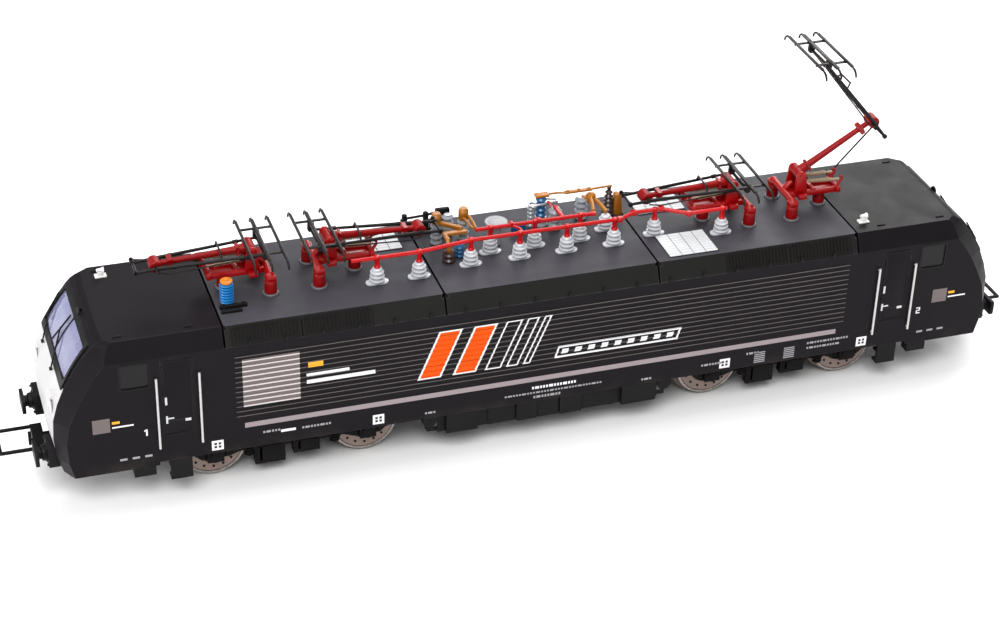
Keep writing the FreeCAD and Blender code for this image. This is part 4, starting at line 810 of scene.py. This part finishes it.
def upper_arm(k, knee, top, across, way):
    back = (top - knee).normalized()
    reach = (top - knee).length
    tip = link_tip(knee, top, way)
    build = Build()
    build.tube([knee - across * 2.6, knee - across * 2.5, knee + across * 2.5, knee + across * 2.6],
               [0.35, 0.55, 0.55, 0.35], 16)
    for side in (-1, 1):
        start = knee + across * 2.2 * side
        end = top + across * 3.8 * side
        run = end - start
        build.tube([start, start + run * 0.1, start + run * 0.5, end], [0.46, 0.42, 0.36, 0.3], 12)
        for f in (0.13, 0.76):
            sleeve = [start + run * (f + step) for step in (0, 0.01, 0.05, 0.06)]
            build.tube(sleeve, [0.3, 0.48, 0.48, 0.3], 12)
        corners = [start + back * 4.0, tip + across * 2.2 * side, start]
        gusset(build, corners, 1.95 * side, 2.4 * side)
        build.tube([start, tip + across * 2.2 * side], 0.34, 12)
        build.tube([tip + across * 1.95 * side, tip + across * 2.45 * side], 0.55, 16)
    build.tube([tip - across * 2.45, tip + across * 2.45], 0.3, 14)
    build.tube([top - across * 4.9, top + across * 4.9], 0.38, 14)
    over = Vector((-back.z, 0, back.x)) * -way
    near = knee - across * 3.0
    far = top - across * 3.3
    build.tube([near + across * 0.6, near - over * 0.5, near + back * 2.5 - over * 1.15,
                far - back * 2.0 - over * 0.6, far], 0.16, 8)
    cross = knee + back * reach * 0.6
    build.tube([cross - across * 3.1, cross - across * 2.2 + over * 1.5, cross + across * 2.2 + over * 1.5,
                cross + across * 3.1], 0.22, 10)
    obj = build.done("upper_arm_tubes_%d" % k, "dark_metal", "upper_arm_%d" % k)
    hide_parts("upper_arm_%d" % k)


def gusset(build, corners, y0, y1):
    build.prism([(c.x, c.z) for c in corners], min(y0, y1), max(y0, y1), "xz")


def link_tip(knee, top, way):
    back = top - knee
    angle = math.atan2(back.z, back.x * way)
    raised = math.radians(180 - 49.6)
    turn = angle - raised - math.radians(51.8)
    return knee + Vector((4.2 * math.cos(turn) * way, 0, 4.2 * math.sin(turn)))


def head(k, top):
    build = Build()
    z = top.z + 1.5
    reach = 8.8
    pin = [(0.25, z - 0.62), (0.25, z + 0.3), (0.12, z + 0.34)]
    for step in (-1, 0, 1):
        x = top.x + 3.45 * step
        drop = ((0, -0.02), (0.9, -0.2), (1.5, -0.55), (1.9, -1.05), (2.05, -1.6))
        horn = [(x, reach + y, z + d) for y, d in drop]
        build.tube([(x, -y, h) for x, y, h in reversed(horn)] + horn,
                   [0.2, 0.24, 0.26, 0.26, 0.24, 0.24, 0.26, 0.26, 0.24, 0.2], 12)
        wide = 0.32 if step else 0.42
        build.box((x - wide, -reach, z - 0.22), (x + wide, reach, z + 0.24), 0.08)
        if step:
            build.box((x - 0.2, -reach + 0.4, z + 0.2), (x + 0.2, reach - 0.4, z + 0.3), 0.04)
    for side in (-1, 1):
        y = 5.5 * side
        build.box((top.x - 3.5, y - 0.34, z - 0.5), (top.x + 3.5, y + 0.34, z - 0.15), 0.08)
        for step in (-1, 0, 1):
            build.lathe(pin, (top.x + 3.45 * step, y, 0), "z", 10)
        y0, y1 = sorted((4.05 * side, 4.75 * side))
        ear = arc((top.x, top.z), 0.78, 180, 360, 12) + [(top.x + 0.7, z - 0.1), (top.x - 0.7, z - 0.1)]
        build.prism(ear, y0, y1, "xz", 0.06)
        y0, y1 = sorted((4.3 * side, 5.8 * side))
        build.box((top.x - 0.6, y0, z - 0.45), (top.x + 0.6, y1, z - 0.1), 0.08)
    obj = build.done("head_frame_%d" % k, "dark_metal", "head_%d" % k)
    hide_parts("head_%d" % k)


def feet(k, x0, way):
    build = Build()
    rings = Build()
    profile = [(1.3, DECK + 0.3), (1.36, DECK + 0.5), (1.32, DECK + 1.6), (1.25, FOOT_TOP - 0.9)]
    profile += [(1.32, FOOT_TOP - 0.8), (1.32, FOOT_TOP - 0.3), (1.15, FOOT_TOP)]
    ring = [(1.72, DECK), (1.75, DECK + 0.25), (1.6, DECK + 0.4), (1.1, DECK + 0.42)]
    for reach, y in ((0, 5.3), (0, -5.3), (9.0, 0)):
        spot = (x0 + reach * way, y, 0)
        build.lathe(profile, spot, "z", 28)
        rings.lathe(ring, spot, "z", 32)
    for obj in (build.done("feet_posts_%d" % k, "dark_red", "chassis"),
                rings.done("feet_rings_%d" % k, "grey_ring", "chassis")):
        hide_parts("pantograph_feet")


def base(k, x0, pivot, way):
    """A round beam over the two front feet, cheeks for the lower arm, and a flat frame to the third foot."""
    red = Build()

    def at(reach, y, up):
        return (x0 + reach * way, y, FOOT_TOP + up)

    beam = ((-5.9, 0.55), (-5.3, 0.85), (-3.4, 0.95), (3.4, 0.95), (5.3, 0.85), (5.9, 0.55))
    red.tube([at(0, y, up) for y, up in beam], [0.7, 1.0, 0.78, 0.78, 1.0, 0.7], 20)
    for side in (1, -1):
        red.box(at(-1.1, side * 5.3 - 1.05, 0), at(1.1, side * 5.3 + 1.05, 1.2), 0.3)
        y0, y1 = sorted((side * 1.3, side * 2.4))
        red.box(at(0.4, y0, 0.1), at(12.6, y1, 1.35), 0.18)
        y0, y1 = sorted((side * 1.82, side * 2.5))
        foot = [(x0 + reach * way, FOOT_TOP + 1.0) for reach in (1.6, 4.8)]
        crown = arc((pivot.x, pivot.z), 1.15, 0 if way > 0 else 180, 180 if way > 0 else 0, 14)
        red.prism(foot + crown, y0, y1, "xz", 0.1)
        red.tube([(pivot.x, side * 2.4, pivot.z), (pivot.x, side * 2.7, pivot.z)], 0.55, 14)
        hook = ((12.2, 1.0), (12.7, 2.2), (13.4, 3.0), (13.3, 3.6), (12.8, 3.8))
        red.tube([at(reach, side * 1.8, up) for reach, up in hook], [0.4, 0.36, 0.32, 0.3, 0.24], 12)
        red.box(at(2.2, side * 3.3 - 0.8, 0.2), at(4.2, side * 3.3 + 0.5, 1.3), 0.2)
    red.box(at(0.2, -1.5, 0.05), at(12.4, 1.5, 0.7), 0.15)
    red.box(at(11.8, -2.9, 0.2), at(12.9, 2.9, 1.6), 0.2)
    red.box(at(6.0, -2.3, 0.9), at(7.0, 2.3, 1.7), 0.2)
    red.tube([at(0.2, 0, 1.1), at(1.0, 0, 2.3), at(2.0, 0, 2.9)], [0.7, 0.7, 0.5], 18)
    red.tube([(pivot.x, -1.95, pivot.z), (pivot.x, -1.75, pivot.z)], 1.0, 20)
    red.tube([(pivot.x, 1.75, pivot.z), (pivot.x, 1.95, pivot.z)], 1.0, 20)
    red.box(at(12.2, 2.2, 0.4), at(13.4, 3.0, 2.4), 0.15)
    red.tube([at(12.9, 2.2, 1.8), at(12.9, 3.9, 1.8)], 0.3, 12)
    red.box((x0 + 3.6 * way, -1.9, pivot.z - 2.3), (x0 + 4.6 * way, 1.9, pivot.z - 1.5), 0.15)
    rods = Build()
    for side in (1, -1):
        start = Vector((x0 + 4.4 * way, side * 1.3, pivot.z - 1.9))
        end = Vector((x0 + 12.6 * way, side * 1.8, pivot.z - 2.2))
        rods.tube([start, end], 0.26, 12)
        rods.spring(start.lerp(end, 0.12), start.lerp(end, 0.8), 0.42, 0.1, 14)
    obj = red.done("base_frame_%d" % k, "red", "chassis")
    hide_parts("pantograph_bases")
    rods.done("base_springs_%d" % k, "spring", "chassis")


# ------------------------------------------------------------------ printing on the sides

RIBS = [19.3 + 1.22 * i for i in range(13)]     # the foot of each rib
RIB_HIGH = 0.3


def clip_band(points, low, high):
    """The part of a convex outline between two heights."""
    for level, keep_above in ((low, True), (high, False)):
        result = []
        for i, a in enumerate(points):
            b = points[(i + 1) % len(points)]
            a_in = a[1] >= level if keep_above else a[1] <= level
            b_in = b[1] >= level if keep_above else b[1] <= level
            if a_in:
                result.append(a)
            if a_in != b_in:
                f = (level - a[1]) / (b[1] - a[1])
                result.append((a[0] + f * (b[0] - a[0]), level))
        points = result
        if len(points) < 3:
            return []
    return points


def shrink(points, amount):
    """A convex outline moved inward on all its edges."""
    area = sum(a[0] * b[1] - b[0] * a[1] for a, b in zip(points, points[1:] + points[:1]))
    way = 1 if area > 0 else -1
    lines = []
    for a, b in zip(points, points[1:] + points[:1]):
        dx, dz = b[0] - a[0], b[1] - a[1]
        size = math.hypot(dx, dz)
        nx, nz = -dz / size * way, dx / size * way
        lines.append((a[0] + nx * amount, a[1] + nz * amount, dx, dz))
    result = []
    for i in range(len(lines)):
        x1, z1, dx1, dz1 = lines[i - 1]
        x2, z2, dx2, dz2 = lines[i]
        det = dx1 * dz2 - dz1 * dx2
        f = ((x2 - x1) * dz2 - (z2 - z1) * dx2) / det
        result.append((x1 + f * dx1, z1 + f * dz1))
    return result


class Print:
    """Thin printed shapes on both sides, turned half round for the far side."""

    def __init__(self, level=0.0):
        self.build = Build()
        self.level = level

    def slab(self, points, proud):
        if len(points) < 3:
            return
        for side in (-1, 1):
            y0, y1 = sorted((side * (SIDE - 0.15), side * (SIDE + proud + self.level)))
            self.build.prism([(-side * x, z) for x, z in points], y0, y1, "xz")

    def shape(self, points, crests=True, grooves=True):
        """An outline that lies on the ribs' crests, in the grooves between them, or on both."""
        low = min(z for x, z in points)
        high = max(z for x, z in points)
        edges = [edge for z in RIBS for edge in (z, z + RIB_HIGH) if low < edge < high]
        cuts = [low] + edges + [high]
        for a, b in zip(cuts, cuts[1:]):
            crest = any(z < (a + b) / 2 < z + RIB_HIGH for z in RIBS)
            if crests if crest else grooves:
                self.slab(clip_band(points, a, b), 0.16 if crest else 0.03)

    def flat(self, points):
        self.slab(points, 0.03)

    def bar(self, x, z, wide, high):
        self.flat(bar_outline(x, z, wide, high))

    def outline(self, points, width):
        inner = shrink(points, width)
        for i in range(len(points)):
            j = (i + 1) % len(points)
            self.shape([points[i], points[j], inner[j], inner[i]])

    def done(self, name, look):
        return self.build.done(name, look, "chassis", 20)


def bar_outline(x, z, wide, high):
    return [(x, z), (x + wide, z), (x + wide, z + high), (x, z + high)]


def side_printing():
    """Plain shapes where the model carries its livery: no lettering, only bars, blocks and outlines."""
    pale, grey, stripe, yellow, white, orange, dim = [Print() for i in range(7)]
    dark = Print(0.02)
    handles = Print(0.1)
    block = bar_outline(-67.9, 21.7, 12.1, 11.6)
    pale.shape(block, grooves=False)
    grey.shape(block, crests=False)
    stripe.bar(-67.8, 16.4, 135.6, 1.2)
    yellow.shape(bar_outline(-54.0, 29.0, 3.2, 1.3))
    white.shape(bar_outline(-54.4, 25.0, 14.8, 0.9))
    white.shape(bar_outline(-54.4, 26.9, 9.2, 0.6))
    for x in (-30.4, -22.6):
        shape = slanted(x, 21.4, 5.2, 11.5)
        white.outline(shape, 0.42)
        orange.shape(shrink(shape, 0.42))
    for x, width in ((-15.4, 3.6), (-10.6, 2.6), (-6.8, 1.6)):
        white.outline(slanted(x, 21.4, width, 11.5), 0.32)
    white.outline(slanted(0.4, 21.7, 28.6, 2.9, 0.3), 0.4)
    for i in range(9):
        white.shape(slanted(1.9 + i * 3.05, 22.6, 1.5, 1.1, 0.3))
    side_data(white, dim, dark)
    cab_marks(dim, grey, yellow, white, handles)
    handles.done("door_handles", "pale")
    ribs()
    pale.done("print_pale_lines", "print_pale")
    grey.done("print_grey_block", "print_grey")
    stripe.done("print_waist_stripe", "print_stripe")
    dark.done("print_dark_bars", "print_black")
    yellow.done("print_yellow_marks", "print_yellow")
    white.done("print_white_marks", "print_white")
    dim.done("print_dim_rows", "print_dim")
    orange.done("print_orange_bars", "print_orange")


def ribs():
    """Painted highlight: a pale strip along the crest of each rib on the sides, standing for the light caught
    there.
    """
    crests = Build()
    for side in (-1, 1):
        y0, y1 = sorted((side * (SIDE + 0.05), side * (SIDE + 0.135)))
        for z in RIBS:
            crests.prism(bar_outline(-69.4, z + 0.06, 138.8, 0.18), y0, y1, "xz")
    crests.done("rib_highlight_strips", "rib", "chassis")


def slanted(x, z, width, high, lean=0.42):
    d = high * lean
    return [(x, z), (x + width, z), (x + width + d, z + high), (x + d, z + high)]


def dashes(target, x, z, count, high):
    """A row of plain dashes, one in four of them longer."""
    for i in range(count):
        wide = 0.924 if i % 4 == 1 else 0.42
        target.bar(x, z, wide, high)
        x += wide + 0.26


def side_data(white, dim, dark):
    """Rows of dashes, ruled patches and four-dot squares along the foot of the side."""
    dashes(white, -4.4, 14.4, 13, 0.65)
    dashes(dim, -10.6, 13.25, 28, 0.42)
    dashes(dim, -4.0, 12.0, 8, 0.6)
    for x, z, count in ((-64.0, 14.3, 5), (-55.6, 13.9, 8), (-28.6, 12.4, 3), (21.2, 12.1, 3),
                        (46.2, 14.4, 4), (61.0, 14.7, 13), (61.0, 13.4, 10), (35.4, 13.2, 6)):
        dashes(dim, x, z, count, 0.5)
    white.bar(-60.2, 13.85, 3.2, 0.6)
    for i in range(6):
        for x in (48.2, 55.4):
            dim.bar(x, 11.9 + 0.5 * i, 2.6, 0.25)
    for x in (-75.0, -40.2, 39.8, 73.4):
        white.bar(x, 11.9, 2.5, 2.4)
        for dx in (0.8, 1.7):
            for dz in (0.8, 1.6):
                dark.bar(x + dx - 0.28, 11.9 + dz - 0.28, 0.56, 0.56)


def cab_marks(dim, grey, yellow, white, handles):
    """Marks beside the cabs, the handles of the doors, and the cab numbers 1 and 2."""
    for patch, door, row in ((-99.3, -84.2, -94.2), (91.4, 78.6, 88.6)):
        grey.bar(patch, 20.6, 3.6, 3.4)
        yellow.bar(patch + 4.0, 22.4, 1.6, 0.6)
        white.bar(patch + 4.0, 21.4, 4.4, 0.35)
        handles.bar(door, 25.2, 0.45, 1.8)
        handles.bar(door, 20.6, 0.4, 1.8)
        handles.bar(door + 0.4, 21.6, 1.3, 0.3)
        handles.bar(door + 4.0, 20.6, 1.2, 0.6)
        for i in range(3):
            dim.bar(row + i * 2.6, 13.0, 1.5, 0.5)
    white.bar(-88.5, 18.3, 0.35, 1.6)
    white.flat([(-88.85, 19.35), (-88.5, 19.6), (-88.5, 19.9), (-88.85, 19.6)])
    for x, z, wide, high in ((87.7, 18.3, 1.0, 0.25), (87.7, 18.5, 0.3, 0.6), (87.7, 18.98, 1.0, 0.25),
                             (88.4, 19.15, 0.3, 0.55), (87.7, 19.65, 1.0, 0.25)):
        white.bar(x, z, wide, high)


# ------------------------------------------------------------------ body detail

def rounded_rect(x0, x1, z0, z1, r, steps=5):
    points = arc((x1 - r, z1 - r), r, 0, 90, steps)
    points += arc((x0 + r, z1 - r), r, 90, 180, steps)
    points += arc((x0 + r, z0 + r), r, 180, 270, steps)
    points += arc((x1 - r, z0 + r), r, 270, 360, steps)
    return points


def ring_prism(build, outer, inner, low, high):
    """A flat frame between two outlines with the same number of points, in the XZ plane."""
    rings = []
    for y, points in ((low, outer), (high, outer), (high, inner), (low, inner)):
        rings.append([build.bm.verts.new((x, y, z)) for x, z in points])
    build.skin(rings, closed=True)


def side_details():
    """Rubbers round the cab side windows and the doors, the door leaves, and their hinges."""
    frames = Build()
    doors = Build()
    for end in (-1, 1):
        for side in (-1, 1):
            x0, x1 = sorted((end * 86.8, end * 93.5))
            y0, y1 = sorted((side * 16.9, side * 17.31))
            ring_prism(frames, rounded_rect(x0, x1, 29.8, 36.35, 0.8),
                       rounded_rect(x0 + 0.5, x1 - 0.5, 30.3, 35.85, 0.55), y0, y1)
            x0, x1 = sorted((end * 78.45, end * 84.35))
            leaf = rounded_rect(x0, x1, 18.15, 35.65, 0.5)
            y0, y1 = sorted((side * 17.1, side * 17.28))
            doors.prism(leaf, y0, y1, "xz", 0.05)
            y0, y1 = sorted((side * 17.2, side * 17.33))
            doors.prism(bar_outline(x0 + 0.2, 21.0, 5.5, 0.12), y0, y1, "xz")
            y0, y1 = sorted((side * 17.1, side * 17.32))
            ring_prism(frames, leaf, rounded_rect(x0 + 0.28, x1 - 0.28, 18.43, 35.37, 0.35), y0, y1)
            for z in (20.0, 26.6, 33.2):
                doors.tube([(end * 84.45, side * 17.2, z), (end * 84.45, side * 17.2, z + 1.2)], 0.16, 8)
    frames.done("side_window_rubbers", "rubber", "chassis")
    doors.done("door_leaves", "shell", "chassis")


def front_details():
    """Black surround of each windscreen with its middle bar, marker strips, the front rail and lamp rims."""
    black = Build()
    rims = Build()
    pale = Build()
    low, high = 30.5, 39.35
    outer = [(-13.4, low - 0.35), (13.4, low - 0.35), (12.9, high + 0.1), (-12.9, high + 0.1)]
    inner = [(-12.4, low + 1.15), (12.4, low + 1.15), (11.9, high - 0.75), (-11.9, high - 0.75)]
    for end in (-1, 1):
        rings = []
        for points, lift in ((outer, -0.45), (outer, 0.1), (inner, 0.1), (inner, -0.45)):
            rings.append([black.bm.verts.new((end * (nose_x(z) + lift), y, z)) for y, z in dense(points, 10)])
        black.skin(rings, closed=True)
        for a, b in zip((31.6, 33.6, 36.0), (33.6, 36.0, 38.6)):
            strip = ((-0.35, a), (-0.02, a), (-0.02, b), (-0.35, b))
            black.prism([(end * (nose_x(z) + lift), z) for lift, z in strip], -0.22, 0.22, "xz")
        for y in (-9.6, 9.6):
            handle = ((106.0, y - 1.3), (106.5, y - 1.3), (106.5, y + 1.3), (106.0, y + 1.3))
            pale.tube([(end * x, v, 27.4) for x, v in handle], 0.15, 8)
        for y in (-10.4, 10.4):
            pale.lathe(turned([(1.5, 0.0), (1.85, 0.0), (1.9, 0.2), (1.8, 0.3), (1.52, 0.28)], end),
                       (end * (nose_x(24.2) - 0.2), y, 24.2), "x", 28)
        rims.lathe(turned([(0.7, 0.0), (1.05, 0.0), (1.05, 0.35), (0.75, 0.4)], end),
                   (end * (nose_x(39.6) - 0.2), 0, 39.6), "x", 20)
    black.done("windscreen_surrounds", "rubber", "chassis", 40)
    rims.done("top_lamp_rims", "black", "chassis")
    pale.done("lamp_rims", "white_front", "chassis")


def nose_x(z):
    """How far the front stands out from the middle of the locomotive at one height."""
    rows = [(10.4, 105.8), (14.0, 106.8), (18.5, 107.3), (23.2, 107.0), (27.0, 105.9), (31.0, 104.2),
            (34.4, 102.2), (36.7, 100.6), (38.6, 99.1), (39.7, 98.1), (40.4, 97.1), (40.9, 95.8)]
    for (z0, x0), (z1, x1) in zip(rows, rows[1:]):
        if z <= z1:
            return x0 + (x1 - x0) * (z - z0) / (z1 - z0)
    return rows[-1][1]


def dense(points, steps):
    result = []
    for a, b in zip(points, points[1:] + points[:1]):
        for i in range(steps):
            f = i / steps
            result.append((a[0] + (b[0] - a[0]) * f, a[1] + (b[1] - a[1]) * f))
    return result


def buffers():
    """Buffer boxes with their bolts, stepped stems and broad heads."""
    build = Build()
    z = BUFFER_Z
    stem = [(2.1, 0), (2.1, 0.3), (1.75, 0.45), (1.65, 1.1), (1.4, 1.2), (1.25, 1.3), (1.25, 2.3)]
    for end in (-1, 1):
        for y in (-10.06, 10.06):
            build.box((end * 105.6, y - 2.8, z - 2.3), (end * 108.3, y + 2.8, z + 2.8), 0.25)
            build.lathe(turned(stem, end), (end * 108.2, y, z), "x", 28)
            outline = [(y + u, z + v) for u, v in rounded_rect(-2.9, 2.9, -1.75, 1.75, 0.6)]
            x0, x1 = sorted((end * 110.1, end * 110.9))
            build.prism(outline, x0, x1, "yz", 0.18)
            for u in (-2.2, 2.2):
                for v in (-1.7, 2.2):
                    spot = (end * 108.3, y + u, z + v)
                    build.lathe(turned([(0.3, 0), (0.3, 0.25), (0.15, 0.3)], end), spot, "x", 8)
    obj = build.done("buffer_set", "black", "chassis")
    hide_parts("buffers")


def wheels():
    """Bright treads, brake discs on the wheels' faces and hubs with bolts, riding on each wheelset."""
    rim = [(7.24, 7.9), (7.26, 9.9), (7.1, 10.0), (6.75, 10.02), (6.6, 9.6), (6.6, 7.9)]
    ring = [(6.5, 9.2), (6.5, 9.95), (6.35, 10.05), (4.35, 10.05), (4.2, 9.95), (4.2, 9.2)]
    boss = [(4.2, 9.2), (3.4, 9.62), (2.3, 9.9), (2.0, 10.2), (1.2, 10.35), (0.3, 10.38), (0.3, 9.2)]
    for k in (1, 2, 3, 4):
        centre = joint_point("wheelset_%d_spin" % k)
        body = "wheelset_%d" % k
        tread = Build()
        disc = Build()
        hub = Build()
        spot = (centre.x, 0, centre.z)
        for side in (-1, 1):
            tread.lathe(turned(rim, side), spot, "y", 64)
            disc.lathe(turned(ring, side), spot, "y", 64)
            hub.lathe(turned(boss, side), spot, "y", 48)
            for x, z in arc((centre.x, centre.z), 5.4, 0, 337.5, 15):
                hub.lathe(turned([(0.3, 0.0), (0.3, 0.2), (0.12, 0.24)], side), (x, side * 9.95, z), "y", 8)
        tread.done("wheel_treads_%d" % k, "tread", body)
        disc.done("wheel_discs_%d" % k, "disc_face", body)
        hub.done("wheel_hubs_%d" % k, "frame_black", body)


def bogie_detail():
    """Springs, axle box covers, hangers and the two hanging boxes of each bogie, on both its sides."""
    for k in (1, 2):
        c = joint_point("bogie_%d_swivel" % k).x
        body = "bogie_%d" % k
        springs = Build()
        iron = Build()
        for side in (-1, 1):
            for u in (-9.4, 9.4):
                springs.spring((c + u, 12.9 * side, 6.4), (c + u, 12.9 * side, 9.8), 0.85, 0.22, 5, 8)
            for x in (c - 16.67, c + 16.67):
                cover = turned([(1.3, 0), (1.3, 0.25), (0.9, 0.32), (0.3, 0.34)], side)
                iron.lathe(cover, (x, side * 13.35, 7.3), "y", 20)
                for way in (-1, 1):
                    iron.tube([(x + way * 2.4, 12.6 * side, 6.9), (x + way * 2.7, 12.8 * side, 9.2)], 0.3, 10)
            for near, far, low in ((-8.2, -1.6, 3.6), (0.2, 6.0, 5.0)):
                x0, x1 = sorted((c - side * near, c - side * far))
                hanging_box(iron, x0, x1, low, side)
            rail = ((-12.0, 12.6, 8.9), (-9.0, 12.9, 9.3), (9.0, 12.9, 9.3), (12.0, 12.6, 8.9))
            iron.tube([(c + u, y * side, z) for u, y, z in rail], 0.3, 10)
        springs.done("bogie_springs_%d" % k, "frame_black", body)
        iron.done("bogie_fittings_%d" % k, "frame_black", body)


def hanging_box(iron, x0, x1, low, side):
    """The lid, strap and screws on the outer face of a box on the bogie's side."""
    y0, y1 = sorted((side * 13.0, side * 13.38))
    iron.box((x0 + 0.5, y0, low + 0.7), (x1 - 0.5, y1, 8.2), 0.15)
    iron.box((x0 + 0.9, y0, low + 0.15), (x0 + 1.6, y1, 9.2), 0.1)
    y0, y1 = sorted((side * 13.3, side * 13.5))
    for x in (x0 + 0.9, x1 - 0.9):
        for z in (low + 1.1, 7.8):
            iron.tube([(x, y0, z), (x, y1, z)], 0.22, 8)


# ------------------------------------------------------------------ stage, light and camera

def stage():
    n = Nodes("floor_pale")
    n.link(n.mix(n.ramp(n.noise(3.0, 3.0), 0.3, 0.7), (0.86, 0.86, 0.86), (0.9, 0.9, 0.9)),
           n.bsdf.inputs["Base Color"])
    n.set(Roughness=0.7)
    n.bump(n.noise(600.0, 3.0), 0.1, 0.00005)
    bm = bmesh.new()
    bmesh.ops.create_grid(bm, x_segments=2, y_segments=2, size=6.0)
    mesh = bpy.data.meshes.new("floor")
    bm.to_mesh(mesh)
    bm.free()
    floor = bpy.data.objects.new("floor", mesh)
    floor.location.z = -0.00002
    mesh.materials.append(n.mat)
    bpy.context.scene.collection.objects.link(floor)


def light(name, spot, aim, power, width, height, colour=(1, 1, 1)):
    data = bpy.data.lights.new(name, "AREA")
    data.shape = "RECTANGLE"
    data.size = width
    data.size_y = height
    data.energy = power
    data.color = colour
    obj = bpy.data.objects.new(name, data)
    obj.location = spot
    obj.rotation_euler = (Vector(aim) - Vector(spot)).to_track_quat("-Z", "Y").to_euler()
    bpy.context.scene.collection.objects.link(obj)


def lighting():
    world = bpy.data.worlds.new("studio")
    bpy.context.scene.world = world
    world.use_nodes = True
    back = world.node_tree.nodes["Background"]
    back.inputs[0].default_value = (1.0, 1.0, 1.0, 1.0)
    back.inputs[1].default_value = 0.52
    light("key", (-0.35, -0.75, 0.95), (0, 0, 0.02), 13.0, 0.7, 0.5)
    light("top", (0.1, 0.25, 1.1), (0, 0, 0.03), 9.0, 0.9, 0.6)
    light("back_right", (0.5, 0.85, 0.6), (0.06, 0, 0.04), 5.0, 0.6, 0.35)
    light("front_left", (-0.95, -0.1, 0.35), (-0.08, 0, 0.03), 4.0, 0.4, 0.4)
    scene = bpy.context.scene
    scene.view_settings.view_transform = "Standard"
    scene.view_settings.exposure = 0.0


def camera():
    """The camera that was fitted to the photograph."""
    azimuth = math.radians(-18.893)
    elevation = math.radians(31.965)
    roll = math.radians(1.679)
    back = Vector((math.sin(azimuth) * math.cos(elevation), -math.cos(azimuth) * math.cos(elevation),
                   math.sin(elevation)))
    right = (-back).cross(Vector((0, 0, 1))).normalized()
    up = right.cross(-back)
    rolled_right = right * math.cos(roll) + up * math.sin(roll)
    rolled_up = up * math.cos(roll) - right * math.sin(roll)
    data = bpy.data.cameras.new("camera")
    data.lens = 80.18
    data.sensor_width = 36.0
    data.clip_start = 0.01
    data.clip_end = 20.0
    obj = bpy.data.objects.new("camera", data)
    matrix = Matrix((rolled_right, rolled_up, back)).transposed().to_4x4()
    matrix.translation = Vector((-0.141776, -0.395755, 0.283685))
    obj.matrix_world = matrix
    bpy.context.scene.collection.objects.link(obj)
    bpy.context.scene.camera = obj


dress_nodes()
smooth_nodes()
roof_lines()
switchgear()
breaker()
small_roof_items()
roof_detail()
for k in (1, 2, 3, 4):
    pantograph(k)
side_printing()
side_details()
front_details()
buffers()
wheels()
bogie_detail()
stage()
lighting()
camera()
